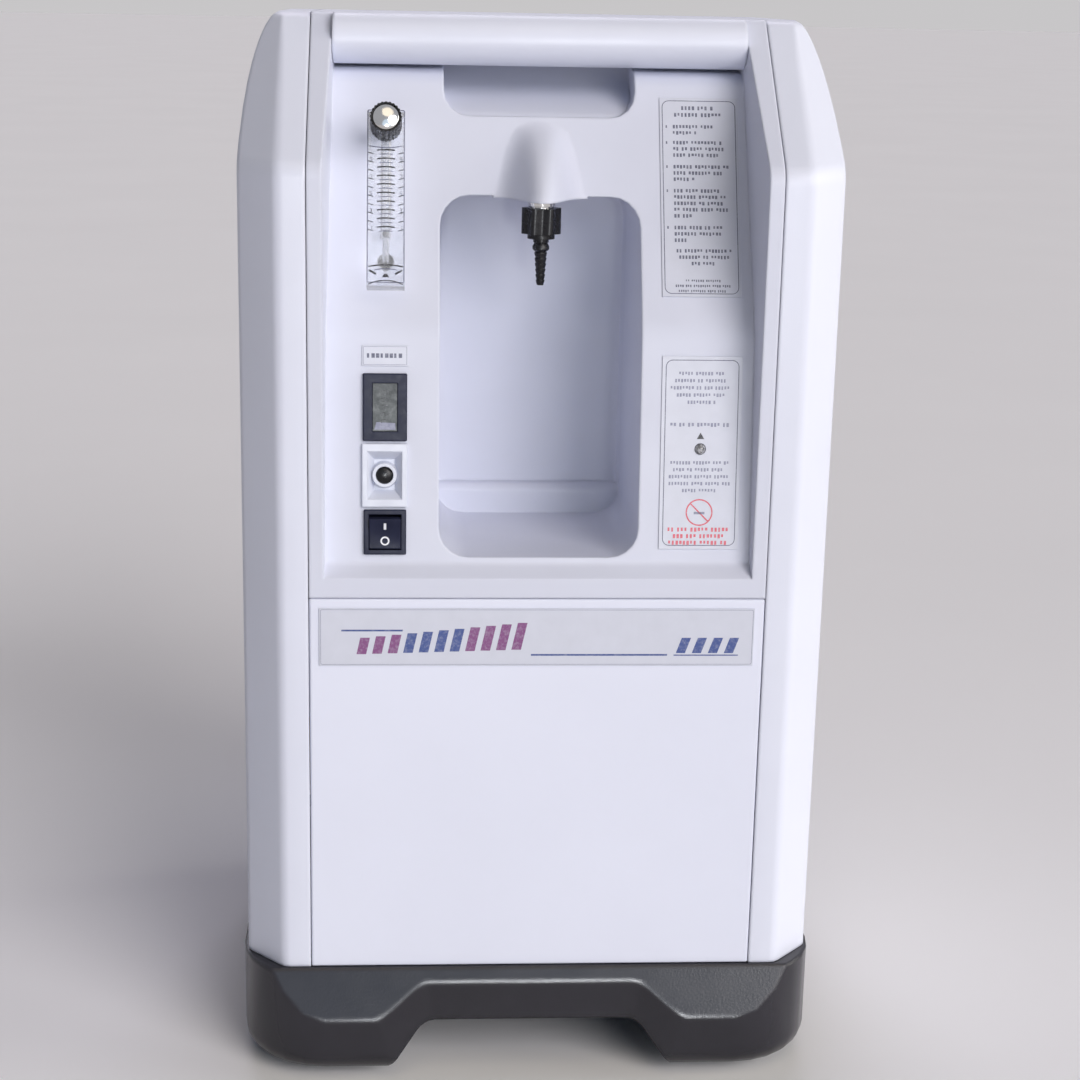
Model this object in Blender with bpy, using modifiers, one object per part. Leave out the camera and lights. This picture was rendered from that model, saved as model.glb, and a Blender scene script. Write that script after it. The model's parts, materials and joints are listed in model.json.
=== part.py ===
"""Stationary oxygen concentrator on four hidden swivel casters.

Metres, +Z up.  The front faces -Y, the user's right hand is +X, and the origin is on the floor
under the middle of the base.  Every separate piece of the machine is its own object.
"""
import math

import bmesh
import bpy
from mathutils import Euler, Matrix, Vector

# ---------------------------------------------------------------- driving dimensions
HEIGHT = 0.699              # floor to top cover
BASE_X = 0.1945             # half width of the base
BASE_Y = 0.184              # half depth of the base
BASE_BOTTOM = 0.006         # underside of the pods
BASE_TOP = 0.078            # rim that the cabinet stands on
RIM_Y = 0.1705              # front and rear edge of that rim
FACET_Z = 0.0457            # the pods' faces lean back above this height
MOUTH_Y = 0.1745            # face of the bar between two pods
TUNNEL_ROOF_Z = 0.0415
CABINET_BOTTOM = BASE_TOP + 0.0003
FRONT_Y = -0.168
REAR_Y = 0.168
SHOULDER_Z = 0.608          # the front starts to lean back here
TOP_FRONT_Y = -0.0685       # front edge of the flat top
TOP_REAR_Y = 0.123          # rear edge of the flat top
SPLIT_Z = 0.3353            # joint between control panel and lower front panel
SEAM_X = 0.1476             # joint between the front panels and the side shells
EDGE_X = 0.166              # inner edge of the corner chamfer
SIDE_X = 0.1915             # outer face of the side shells
CHAMFER_Y = 0.028           # how far the corner chamfer runs back
CROWN_Z = 0.600             # the side shells start to round over towards the top here

WALL = 0.0032               # moulded wall
SKIN = 0.0030               # flat cover wall
GAP = 0.0003                # clearance between touching pieces
SEAM = 0.00025              # half of the seams beside the front panels
SPLIT = 0.0003              # half of the level joint between them
OVERLAP = 0.001             # how far joined solids run into each other

# Control panel: a shallow tray that leans back more steeply above the crease.
RECESS_X = 0.138            # half width of the tray at the front plane
DRAFT = 0.05                # the tray's side walls close in by this much per metre of depth
RECESS_FOOT = (FRONT_Y, 0.3485)
PANEL_FOOT = (-0.158, 0.356)
PANEL_CREASE = (-0.1426, 0.506)
PANEL_TOP = (-0.0735, 0.6655)
GROOVE_Y = -0.052           # wall behind the grip bar
HORN_REAR_Y = -0.0535       # the frame's two upper ends reach back to here at full height
PANEL_REAR_Y = 0.006
PANEL_LID_Z = 0.6949        # top of the control panel, under the top cover

BAR_RADIUS = 0.0160
BAR_CENTRE = (-0.0715, HEIGHT - BAR_RADIUS)
POCKET_X = 0.062
POCKET_FLOOR_Z = 0.6355
POCKET_REAR_Y = -0.030

NICHE_X = 0.0645
NICHE_FLOOR_Z = 0.360
NICHE_TOP_Z = 0.587
NICHE_REAR_Y = -0.026
NICHE_STEP = (-0.036, 0.381)   # riser along the foot of the rear wall, and its top
NICHE_CORNER = 0.019

SPOUT_Y = -0.1215           # axis of the oxygen outlet
SPOUT_BOTTOM_Z = 0.5855
SPOUT_TOP_Z = 0.633
SPOUT_HALF_WIDTH = 0.0165   # where the hood has sunk to about a third of its height
SPOUT_RISE = 0.0355         # how far the hood stands off the panel at its foot

# Casters
CASTER_X = 0.145
CASTER_Y = 0.128
WHEEL_RADIUS = 0.024
WHEEL_HALF_WIDTH = 0.0095
TRAIL = 0.012
WELL_RADIUS = 0.039
WELL_ROOF_Z = 0.0605
WELL_TOWER_Z = 0.0645

# Frames of the two leaning panel fields: a point on the surface, and the lean from vertical.
LOWER_LEAN = math.atan2(PANEL_CREASE[0] - PANEL_FOOT[0], PANEL_CREASE[1] - PANEL_FOOT[1])
UPPER_LEAN = math.atan2(PANEL_TOP[0] - PANEL_CREASE[0], PANEL_TOP[1] - PANEL_CREASE[1])

METER_X, METER_Z = -0.0989, 0.6215         # flowmeter: where the knob's axis meets the panel
HOURS_X, HOURS_Z = -0.0991, 0.4563
BREAKER_X, BREAKER_Z = -0.0993, 0.4129
SWITCH_X, SWITCH_Z = -0.0989, 0.3765
LIGHT_X, LIGHT_Z = 0.1035, 0.4308
LIGHT_RADIUS = 0.0034

METER_SIZE = (0.0240, 0.0190, 0.1135)      # acrylic block: width, depth, height
METER_FOOT = -0.1018                       # its lower end below the knob's axis
FLOAT_RADIUS = 0.0028
FLOAT_REST = -0.068
KNOB_RADIUS = 0.0101

FILTER_X, FILTER_LOW_Z, FILTER_HIGH_Z = 0.085, 0.440, 0.580
EXHAUST_X, EXHAUST_LOW_Z, EXHAUST_HIGH_Z = 0.085, 0.120, 0.222
GLAND_X, GLAND_Z = 0.118, 0.122
DECK_Z = 0.0650             # chassis plate on the caster towers
SHELF_Z = 0.262             # shelf over the compressor
MOTOR_AXIS = (0.030, 0.155)  # y, z of the compressor's shaft

# ---------------------------------------------------------------- materials
COLOURS = {
    "cabinet": ((0.72, 0.74, 0.84, 1), 0.42, 0.0),
    "cabinet_panel": ((0.70, 0.73, 0.85, 1), 0.45, 0.0),
    "base_plastic": ((0.045, 0.045, 0.055, 1), 0.55, 0.0),
    "black_plastic": ((0.012, 0.012, 0.015, 1), 0.35, 0.0),
    "navy_plastic": ((0.025, 0.028, 0.055, 1), 0.35, 0.0),
    "bezel_plastic": ((0.62, 0.64, 0.74, 1), 0.40, 0.0),
    "acrylic": ((0.86, 0.88, 0.92, 0.35), 0.05, 0.0),
    "lcd": ((0.16, 0.19, 0.15, 1), 0.20, 0.0),
    "chrome": ((0.80, 0.80, 0.80, 1), 0.08, 1.0),
    "steel": ((0.55, 0.56, 0.58, 1), 0.35, 1.0),
    "aluminium": ((0.66, 0.67, 0.69, 1), 0.40, 1.0),
    "copper": ((0.72, 0.40, 0.26, 1), 0.35, 1.0),
    "label": ((0.78, 0.80, 0.90, 1), 0.50, 0.0),
    "rubber": ((0.020, 0.020, 0.020, 1), 0.80, 0.0),
    "foam": ((0.050, 0.050, 0.055, 1), 0.95, 0.0),
    "hose": ((0.70, 0.72, 0.74, 1), 0.35, 0.0),
    "circuit": ((0.03, 0.16, 0.07, 1), 0.50, 0.0),
}


def clear_scene():
    for old in list(bpy.data.objects):
        bpy.data.objects.remove(old, do_unlink=True)


clear_scene()
PARTS = bpy.data.collections.new("oxygen_concentrator")
CUTTERS = bpy.data.collections.new("cutters")
for group in (PARTS, CUTTERS):
    bpy.context.scene.collection.children.link(group)


def material(slot):
    found = bpy.data.materials.get(slot)
    if found:
        return found
    colour, roughness, metallic = COLOURS[slot]
    made = bpy.data.materials.new(slot)
    made.use_nodes = True
    shader = made.node_tree.nodes["Principled BSDF"]
    shader.inputs["Base Color"].default_value = colour
    shader.inputs["Roughness"].default_value = roughness
    shader.inputs["Metallic"].default_value = metallic
    shader.inputs["Alpha"].default_value = colour[3]
    return made


# ---------------------------------------------------------------- outlines
def rounded(corners, steps=4):
    """Closed 2-D outline from (a, b, radius) corners, each radius drawn as an arc of steps spans."""
    points = []
    count = len(corners)
    for index, (a, b, radius) in enumerate(corners):
        here = Vector((a, b))
        if radius <= 0:
            points.append(here)
            continue
        to_last = (Vector(corners[index - 1][:2]) - here).normalized()
        to_next = (Vector(corners[(index + 1) % count][:2]) - here).normalized()
        opening = to_last.angle(to_next)
        reach = radius / math.tan(opening / 2)
        centre = here + (to_last + to_next).normalized() * (radius / math.sin(opening / 2))
        first = here + to_last * reach - centre
        turn = first.angle_signed(here + to_next * reach - centre)
        for step in range(steps + 1):
            angle = -turn * step / steps
            cos, sin = math.cos(angle), math.sin(angle)
            spoke = Vector((first.x * cos - first.y * sin, first.x * sin + first.y * cos))
            points.append(centre + spoke)
    return points


def grown(corners, distance):
    """The same corners and arcs moved outwards by distance; the corners run anticlockwise."""
    moved = []
    count = len(corners)
    for index, (a, b, radius) in enumerate(corners):
        here = Vector((a, b))
        along_last = (here - Vector(corners[index - 1][:2])).normalized()
        along_next = (Vector(corners[(index + 1) % count][:2]) - here).normalized()
        normal_last = Vector((along_last.y, -along_last.x))
        normal_next = Vector((along_next.y, -along_next.x))
        mitre = (normal_last + normal_next) / (1 + normal_last.dot(normal_next))
        if radius > 0:
            bulges = along_last.cross(along_next) > 0
            radius = max(0.0, radius + (distance if bulges else -distance))
        moved.append((a + mitre.x * distance, b + mitre.y * distance, radius))
    return moved


def rectangle(half_a, low_b, high_b, radius=0.0):
    return [(-half_a, low_b, radius), (half_a, low_b, radius),
            (half_a, high_b, radius), (-half_a, high_b, radius)]


# ---------------------------------------------------------------- solids
def add(name, mesh, parent=None, location=(0, 0, 0)):
    thing = bpy.data.objects.new(name, mesh)
    thing.location = location
    thing.parent = parent
    PARTS.objects.link(thing)
    return thing


def mesh_of(name, builder):
    bmesh.ops.recalc_face_normals(builder, faces=builder.faces)
    mesh = bpy.data.meshes.new(name)
    builder.to_mesh(mesh)
    builder.free()
    return mesh


def box(name, low, high, parent=None, bevel=0.0, segments=2):
    builder = bmesh.new()
    bmesh.ops.create_cube(builder, size=1.0)
    size = Vector(high) - Vector(low)
    middle = (Vector(high) + Vector(low)) / 2
    bmesh.ops.scale(builder, vec=size, verts=builder.verts)
    bmesh.ops.translate(builder, vec=middle, verts=builder.verts)
    if bevel > 0:
        bmesh.ops.bevel(builder, geom=builder.edges[:], offset=bevel, segments=segments, profile=0.5,
                        affect="EDGES")
    return add(name, mesh_of(name, builder), parent)


def rod(name, radius, start, end, parent=None, segments=24, end_radius=None):
    """Cylinder, or a cone when end_radius is given, from start to end."""
    builder = bmesh.new()
    axis = Vector(end) - Vector(start)
    turn = Vector((0, 0, 1)).rotation_difference(axis).to_matrix().to_4x4()
    bmesh.ops.create_cone(builder, cap_ends=True, segments=segments, radius1=radius,
                          radius2=radius if end_radius is None else end_radius, depth=axis.length,
                          matrix=Matrix.Translation((Vector(start) + Vector(end)) / 2) @ turn)
    return add(name, mesh_of(name, builder), parent)


def ball(name, radii, centre, parent=None, segments=24):
    builder = bmesh.new()
    bmesh.ops.create_uvsphere(builder, u_segments=segments, v_segments=segments // 2, radius=1.0)
    bmesh.ops.scale(builder, vec=radii, verts=builder.verts)
    bmesh.ops.translate(builder, vec=centre, verts=builder.verts)
    return add(name, mesh_of(name, builder), parent)


def prism(name, outline, axis, low, high, parent=None):
    """Flat outline pushed along one axis.  Its two coordinates are the other axes in x, y, z order."""
    place = {
        "x": lambda a, b, c: (c, a, b),
        "y": lambda a, b, c: (a, c, b),
        "z": lambda a, b, c: (a, b, c),
    }[axis]
    builder = bmesh.new()
    face = builder.faces.new([builder.verts.new(place(point[0], point[1], low)) for point in outline])
    pushed = bmesh.ops.extrude_face_region(builder, geom=[face])["geom"]
    moved = [item for item in pushed if isinstance(item, bmesh.types.BMVert)]
    bmesh.ops.translate(builder, vec=place(0, 0, high - low), verts=moved)
    return add(name, mesh_of(name, builder), parent)


def turned(name, profile, parent=None, location=(0, 0, 0), axis="z", segments=32, ring=False):
    """Profile of (radius, height) points turned about an axis with a Screw modifier."""
    mesh = bpy.data.meshes.new(name)
    edges = [(index, index + 1) for index in range(len(profile) - 1)]
    if ring:
        edges.append((len(profile) - 1, 0))
    mesh.from_pydata([(radius, 0, height) for radius, height in profile], edges, [])
    thing = add(name, mesh, parent, location)
    thing.rotation_euler = {"z": (0, 0, 0), "y": (math.pi / 2, 0, 0), "x": (0, math.pi / 2, 0)}[axis]
    screw = thing.modifiers.new("turn", "SCREW")
    screw.steps = screw.render_steps = segments
    screw.use_merge_vertices = True
    screw.merge_threshold = 0.00001
    screw.use_smooth_shade = True
    return thing


def tube(name, points, radius, parent=None, sides=2):
    """Round tube along a list of points."""
    curve = bpy.data.curves.new(name, "CURVE")
    curve.dimensions = "3D"
    curve.bevel_depth = radius
    curve.bevel_resolution = sides
    curve.use_fill_caps = True
    spline = curve.splines.new("POLY")
    spline.points.add(len(points) - 1)
    for target, point in zip(spline.points, points):
        target.co = (*point, 1)
    return add(name, curve, parent)


def smooth_path(points, spans=6):
    """Catmull-Rom curve through the points."""
    ends = [Vector(points[0])] + [Vector(point) for point in points] + [Vector(points[-1])]
    path = []
    for a, b, c, d in zip(ends, ends[1:], ends[2:], ends[3:]):
        for step in range(spans):
            t = step / spans
            path.append(0.5 * (2 * b + (c - a) * t + (2 * a - 5 * b + 4 * c - d) * t ** 2
                               + (3 * b - a - 3 * c + d) * t ** 3))
    return path + [ends[-1]]


def operand(thing):
    """Turn an object into a hidden Boolean operand."""
    for group in list(thing.users_collection):
        group.objects.unlink(thing)
    CUTTERS.objects.link(thing)
    thing.name = "cutter_" + thing.name
    thing.display_type = "WIRE"
    thing.hide_render = True
    return thing


def combine(target, others, operation):
    for other in others:
        step = target.modifiers.new(operation.lower(), "BOOLEAN")
        step.operation = operation
        step.solver = "EXACT"
        step.object = operand(other)
    return target


def cut(target, *others):
    return combine(target, others, "DIFFERENCE")


def join(target, *others):
    return combine(target, others, "UNION")


def finish(thing, slot, smooth=True):
    """Give a piece its material, and smooth shading with sharp edges kept."""
    data = thing.data
    data.materials.clear()
    data.materials.append(material(slot))
    if smooth and isinstance(data, bpy.types.Mesh) and data.polygons:
        data.shade_smooth()
        data.set_sharp_from_angle(angle=math.radians(35))
    return thing


def empty(name, location, lean=0.0):
    """Frame of a leaning panel: x to the right, -y out of the surface, z up along it."""
    thing = bpy.data.objects.new(name, None)
    thing.location = location
    thing.rotation_euler = Euler((-lean, 0, 0))
    PARTS.objects.link(thing)
    return thing


def lower_point(x, z):
    rise = z - PANEL_FOOT[1]
    return (x, PANEL_FOOT[0] + rise * math.tan(LOWER_LEAN), z)


def upper_point(x, z):
    rise = z - PANEL_CREASE[1]
    return (x, PANEL_CREASE[0] + rise * math.tan(UPPER_LEAN), z)


# ---------------------------------------------------------------- cabinet shells
def cabinet_outline():
    """Side view of the cabinet as (y, z) points, up the front, over the top and down the rear."""
    corners = [
        (FRONT_Y, CABINET_BOTTOM, 0.0),
        (FRONT_Y, SHOULDER_Z, 0.018),
        (TOP_FRONT_Y, HEIGHT, 0.020),
        (REAR_Y, HEIGHT, REAR_Y - TOP_REAR_Y),
        (REAR_Y, CABINET_BOTTOM, 0.0),
    ]
    return rounded(corners, steps=5)


def crossing(branch, z):
    """y where a rising branch of the outline passes height z."""
    for (y0, z0), (y1, z1) in zip(branch, branch[1:]):
        if z0 <= z <= z1 and z1 > z0:
            return y0 + (y1 - y0) * (z - z0) / (z1 - z0)
    return branch[-1][0]


def side_shell(name, side):
    """Half of the cabinet's skin outside one seam, lofted through level sections."""
    outline = cabinet_outline()
    crest = max(range(len(outline)), key=lambda index: (round(outline[index].y, 6), -index))
    front = outline[:crest + 1]
    rear = list(reversed([point for point in outline[crest:] if point.x > 0]))
    crown_top = HEIGHT + 0.0005
    crown = [CROWN_Z + (crown_top - CROWN_Z) * math.sin(math.radians(turn)) for turn in range(0, 86, 12)]
    heights = []
    for z in sorted([point.y for point in front] + [point.y for point in rear] + crown):
        if not heights or z - heights[-1] > 0.0012:
            heights.append(min(z, HEIGHT))
    heights[-1] = HEIGHT
    builder = bmesh.new()
    rows = []
    for z in heights:
        level = max(0.0, (z - CROWN_Z) / (crown_top - CROWN_Z))
        fullness = math.sqrt(max(0.0, 1 - level * level))
        y_front, y_rear = crossing(front, z), crossing(rear, z)
        out_x = EDGE_X + (SIDE_X - EDGE_X) * fullness
        run = CHAMFER_Y * fullness
        soft = 0.010 * fullness
        corners = [
            (SEAM_X + SEAM, y_front, 0), (EDGE_X, y_front, soft), (out_x, y_front + run, soft),
            (out_x, y_rear - run, soft), (EDGE_X, y_rear, soft), (SEAM_X + SEAM, y_rear, 0),
        ]
        rows.append([builder.verts.new((side * point.x, point.y, z)) for point in rounded(corners, steps=2)])
    for lower, upper in zip(rows, rows[1:]):
        for index in range(len(lower) - 1):
            builder.faces.new((lower[index], lower[index + 1], upper[index + 1], upper[index]))
    builder.faces.new(rows[-1])
    bmesh.ops.recalc_face_normals(builder, faces=builder.faces)
    if sum(face.normal.x * face.calc_area() for face in builder.faces) * side < 0:
        bmesh.ops.reverse_faces(builder, faces=builder.faces)
    mesh = bpy.data.meshes.new(name)
    builder.to_mesh(mesh)
    builder.free()
    shell = add(name, mesh)
    thick = shell.modifiers.new("wall", "SOLIDIFY")
    thick.thickness = WALL
    thick.offset = -1
    thick.use_even_offset = True
    return finish(shell, "cabinet")


def lower_front_panel():
    half = SEAM_X - SEAM
    top = SPLIT_Z - SPLIT
    panel = box("lower_front_panel", (-half, FRONT_Y, CABINET_BOTTOM), (half, FRONT_Y + 0.016, top),
                bevel=0.0008, segments=1)
    cut(panel, box("pan", (-half + SKIN, FRONT_Y + SKIN, CABINET_BOTTOM + SKIN),
                   (half - SKIN, FRONT_Y + 0.05, top - SKIN)))
    return finish(panel, "cabinet_panel", smooth=False)


def recess_half(y, extra=0.0):
    """Half width of the tray at depth y."""
    return RECESS_X + extra - DRAFT * (y - FRONT_Y)


def recess_corners():
    """The tray and the grip bar's groove in side view, open towards the front and the top."""
    return [
        (-0.25, RECESS_FOOT[1], 0), (*RECESS_FOOT, 0), (*PANEL_FOOT, 0.006), (*PANEL_CREASE, 0.05),
        (*PANEL_TOP, 0.018), (GROOVE_Y, PANEL_TOP[1], 0.005), (GROOVE_Y, 0.76, 0), (-0.25, 0.76, 0),
    ]


def recess_cutter(name, extra):
    corners = recess_corners()
    if extra > 0:
        corners = grown(corners, extra)
    recess = prism(name, rounded(corners, steps=3), "x", -1, 1)
    for vertex in recess.data.vertices:
        vertex.co.x *= recess_half(vertex.co.y, extra)
    return recess


def niche_cutter(name, extra):
    """Bottle niche with round corners, a round rear edge and a step along the foot of its rear wall."""
    corners = grown(rectangle(NICHE_X, NICHE_FLOOR_Z, NICHE_TOP_Z, NICHE_CORNER), extra)
    niche = prism(name, rounded(corners, steps=5), "y", -0.25, NICHE_REAR_Y + extra)
    soften = niche.modifiers.new("rear_edge", "BEVEL")
    soften.width = 0.008
    soften.segments = 2
    soften.limit_method = "ANGLE"
    soften.angle_limit = math.radians(60)
    step = box(name + "_step", (-0.1, NICHE_STEP[0] + extra, 0.3), (0.1, 0.05, NICHE_STEP[1] - extra),
               bevel=0.006, segments=3)
    return cut(niche, step)


def pocket_cutter(name, extra):
    """Finger room behind the grip bar: round lower corners, and a floor that scoops up to the rear."""
    half = POCKET_X + extra
    front = [(-half, POCKET_FLOOR_Z - extra, 0.016), (half, POCKET_FLOOR_Z - extra, 0.016),
             (half, 0.72, 0), (-half, 0.72, 0)]
    floor, rear = POCKET_FLOOR_Z - extra, POCKET_REAR_Y + extra
    side = [(-0.26, floor - 0.012, 0), (-0.096, floor - 0.012, 0), (-0.080, floor + 0.002, 0.02),
            (rear, floor + 0.024, 0.02), (rear, 0.73, 0), (-0.26, 0.73, 0)]
    pocket = prism(name, rounded(front, steps=4), "y", -0.25, 0.05)
    return combine(pocket, [prism(name + "_scoop", rounded(side, steps=3), "x", -0.1, 0.1)], "INTERSECT")


def upper_surface_y(z):
    return PANEL_CREASE[0] + (z - PANEL_CREASE[1]) * math.tan(UPPER_LEAN)


def spout(name, inset, foot, reach):
    """Hood over the oxygen outlet that swells out of the upper panel, drawn level by level."""
    builder = bmesh.new()
    rows = []
    levels, columns = 9, 9
    for level in range(levels + 1):
        z = foot + (SPOUT_TOP_Z - inset - foot) * level / levels
        climb = (z - SPOUT_BOTTOM_Z) / (SPOUT_TOP_Z - SPOUT_BOTTOM_Z)
        rise = SPOUT_RISE * (1 - min(1.0, climb) ** 2) ** 1.3
        surface = upper_surface_y(z) + 0.0004 + inset
        width = (SPOUT_HALF_WIDTH - inset) * (1 - 0.3 * climb)
        row = []
        for column in range(-columns, columns + 1):
            x = 1.85 * width * column / columns
            y = surface - rise * math.exp(-(abs(x) / width) ** 2.6)
            row.append(builder.verts.new((x, y, z)))
        row += [builder.verts.new((side * 1.85 * width, surface + reach, z)) for side in (1, -1)]
        rows.append(row)
    count = len(rows[0])
    for lower, upper in zip(rows, rows[1:]):
        for index in range(count):
            after = (index + 1) % count
            builder.faces.new((lower[index], lower[after], upper[after], upper[index]))
    builder.faces.new(rows[0])
    builder.faces.new(rows[-1])
    return add(name, mesh_of(name, builder))


def control_panel(lower, upper):
    half = SEAM_X - SEAM
    foot = SPLIT_Z + SPLIT
    side = [
        (FRONT_Y, foot, 0), (PANEL_REAR_Y, foot, 0), (PANEL_REAR_Y, PANEL_LID_Z, 0),
        (HORN_REAR_Y, PANEL_LID_Z, 0), (HORN_REAR_Y, HEIGHT, 0), (TOP_FRONT_Y, HEIGHT, 0.010),
        (FRONT_Y, SHOULDER_Z, 0.018),
    ]
    panel = prism("control_panel", rounded(side, steps=5), "x", -half, half)
    lean = (TOP_FRONT_Y - FRONT_Y) / (HEIGHT - SHOULDER_Z)
    ceiling = PANEL_LID_Z - 0.004
    inside = [
        (FRONT_Y + WALL, 0.30, 0), (0.10, 0.30, 0), (0.10, 0.76, 0), (HORN_REAR_Y + WALL, 0.76, 0),
        (HORN_REAR_Y + WALL, ceiling, 0),
        (TOP_FRONT_Y + 0.0047 - lean * (HEIGHT - ceiling), ceiling, 0),
        (FRONT_Y + WALL, SHOULDER_Z - 0.0014, 0.016),
    ]
    cavity = prism("panel_cavity", rounded(inside, steps=5), "x", -0.2, 0.2)
    cut(cavity, recess_cutter("recess_wall", WALL), niche_cutter("niche_wall", WALL),
        pocket_cutter("pocket_wall", WALL))
    cut(panel, cavity, recess_cutter("recess", 0.0), niche_cutter("niche", 0.0),
        pocket_cutter("pocket", 0.0))
    join(panel, spout("spout_hood", 0.0, SPOUT_BOTTOM_Z, 0.012))
    through = [(0, SPOUT_Y, SPOUT_BOTTOM_Z + rise) for rise in (-0.010, 0.012)]
    cut(panel, spout("spout_inside", 0.003, SPOUT_BOTTOM_Z + 0.006, 0.040),
        rod("nipple_hole", 0.0065, *through))
    holes = [
        box("hours_hole", (-0.0122, -0.03, -0.0187), (0.0122, 0.03, 0.0187), lower["hours"]),
        box("breaker_hole", (-0.0122, -0.03, -0.0169), (0.0122, 0.03, 0.0169), lower["breaker"]),
        box("switch_hole", (-0.0122, -0.03, -0.0132), (0.0122, 0.03, 0.0132), lower["switch"]),
        rod("light_hole", LIGHT_RADIUS + GAP, (0, -0.03, 0), (0, 0.03, 0), lower["light"]),
        rod("meter_hole_high", 0.0052, (0, -0.004, 0), (0, 0.03, 0), upper["meter"]),
        rod("meter_hole_low", 0.0052, (0, -0.004, -0.084), (0, 0.03, -0.084), upper["meter"]),
    ]
    cut(panel, *holes)
    return finish(panel, "cabinet")


def arc(centre, radius, angles):
    """Points on a circle at the given angles in degrees."""
    turns = [math.radians(angle) for angle in angles]
    return [(centre[0] + radius * math.cos(turn), centre[1] + radius * math.sin(turn)) for turn in turns]


def top_cover():
    """Lid whose front edge rolls down and under into the grip bar, between the frame's two horns."""
    half, underside = SEAM_X - SEAM, PANEL_LID_Z + GAP
    inner = BAR_RADIUS - SKIN
    meeting = math.degrees(math.asin((underside - BAR_CENTRE[1]) / inner))
    section = [(TOP_REAR_Y - SEAM, underside), (TOP_REAR_Y - SEAM, HEIGHT)]
    section += arc(BAR_CENTRE, BAR_RADIUS, range(90, 341, 15))
    section += arc(BAR_CENTRE, inner, [*range(335, 80, -20), meeting])
    cover = prism("top_cover", section, "x", -half, half)
    notch_y, far_y = HORN_REAR_Y + GAP, -0.12
    for side in (-1, 1):
        plan = [(recess_half(notch_y) - GAP, notch_y), (half + 0.01, notch_y), (half + 0.01, far_y),
                (recess_half(far_y) - GAP, far_y)]
        cut(cover, prism("horn_notch", [(side * x, y) for x, y in plan], "z", 0.6, 0.8))
    return finish(cover, "cabinet")


def rear_panel():
    """Flat back that rolls over to meet the top cover, with its openings."""
    half = SEAM_X - SEAM
    radius = REAR_Y - TOP_REAR_Y
    centre = (TOP_REAR_Y, HEIGHT - radius)
    section = [(REAR_Y, CABINET_BOTTOM)] + arc(centre, radius, range(0, 91, 10))
    section += arc(centre, radius - SKIN, range(90, -1, -10)) + [(REAR_Y - SKIN, CABINET_BOTTOM)]
    panel = prism("rear_panel", section, "x", -half, half)
    cut(panel,
        box("intake_opening", (-FILTER_X - 0.0035, 0.1, FILTER_LOW_Z - 0.0035),
            (FILTER_X + 0.0035, 0.2, FILTER_HIGH_Z + 0.0035)),
        box("exhaust_opening", (-EXHAUST_X, 0.1, EXHAUST_LOW_Z), (EXHAUST_X, 0.2, EXHAUST_HIGH_Z)),
        rod("gland_hole", 0.0083, (GLAND_X, 0.1, GLAND_Z), (GLAND_X, 0.2, GLAND_Z)))
    return finish(panel, "cabinet")


# ---------------------------------------------------------------- base
def tunnel_outline(roof_half, foot_half):
    """Arch between two pods: a flat roof, leaning flanks and well-rounded feet."""
    roof_radius, foot_radius = 0.015, 0.020
    foot_z = BASE_BOTTOM - 0.0025
    right = [(foot_half + 0.030, -0.020, 0), (foot_half + 0.023, foot_z - 0.0015, 0),
             (foot_half, foot_z, foot_radius), (roof_half, TUNNEL_ROOF_Z, roof_radius)]
    left = [(-x, z, radius) for x, z, radius in reversed(right)]
    return rounded(right + left, steps=4)


def facet_cutter(end):
    """Slices the face of the two pods at one end so that it leans back above the facet's lower edge."""
    lean = (BASE_Y - RIM_Y) / (BASE_TOP - FACET_Z)
    low_z, high_z = FACET_Z - 0.012, BASE_TOP + 0.010
    face = [(BASE_Y - lean * (high_z - FACET_Z), high_z), (BASE_Y - lean * (low_z - FACET_Z), low_z),
            (BASE_Y + 0.08, low_z), (BASE_Y + 0.08, high_z)]
    return prism("facet", [(end * y, z) for y, z in face], "x", -0.3, 0.3)


def mouth_cutter(end):
    """Recess between the two pods at one end, narrower lower down, that runs out softly into them."""
    inner, outer, splay = 0.068, 0.1017, 0.234
    far, far_y = 0.150, BASE_Y + 0.004
    right = [(inner, MOUTH_Y, 0.040), (outer, BASE_Y, 0.100), (far, far_y, 0), (far, 0.26, 0)]
    left = [(-x, y, radius) for x, y, radius in reversed(right)]
    mouth = prism("mouth", [(x, end * y) for x, y in rounded(right + left, steps=3)], "z", -0.02, 0.10)
    for vertex in mouth.data.vertices:
        vertex.co.x *= 1 + splay * (vertex.co.z - FACET_Z) / abs(vertex.co.x)
    return mouth


def base():
    corners = rectangle(BASE_X, -BASE_Y, BASE_Y, 0.056)
    tray = prism("base", rounded(corners, steps=6), "z", BASE_BOTTOM, BASE_TOP)
    builder = bmesh.new()
    builder.from_mesh(tray.data)
    rim = [edge for edge in builder.edges
           if all(abs(vert.co.z - BASE_BOTTOM) < 1e-6 for vert in edge.verts)]
    bmesh.ops.bevel(builder, geom=rim, offset=0.016, segments=5, profile=0.5, affect="EDGES")
    builder.to_mesh(tray.data)
    builder.free()
    cut(tray, facet_cutter(-1), facet_cutter(1), mouth_cutter(-1), mouth_cutter(1),
        prism("tunnel_y", tunnel_outline(0.0723, 0.0993), "y", -0.3, 0.3),
        prism("tunnel_x", tunnel_outline(0.050, 0.076), "x", -0.3, 0.3))
    inside = rounded(rectangle(0.178, -0.158, 0.158, 0.030), steps=3)
    hollow = prism("tray_hollow", inside, "z", TUNNEL_ROOF_Z + 0.004, 0.2)
    wells, bores = [], []
    for x, y in caster_places():
        cut(hollow, rod("tower", WELL_RADIUS + 0.0040, (x, y, 0.0), (x, y, WELL_TOWER_Z), segments=28))
        wells.append(rod("well", WELL_RADIUS, (x, y, -0.02), (x, y, WELL_ROOF_Z), segments=28))
        bores.append(rod("stem_bore", 0.0045, (x, y, 0.05), (x, y, 0.08), segments=16))
    cut(tray, hollow, *wells, *bores)
    return finish(tray, "base_plastic")


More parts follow.
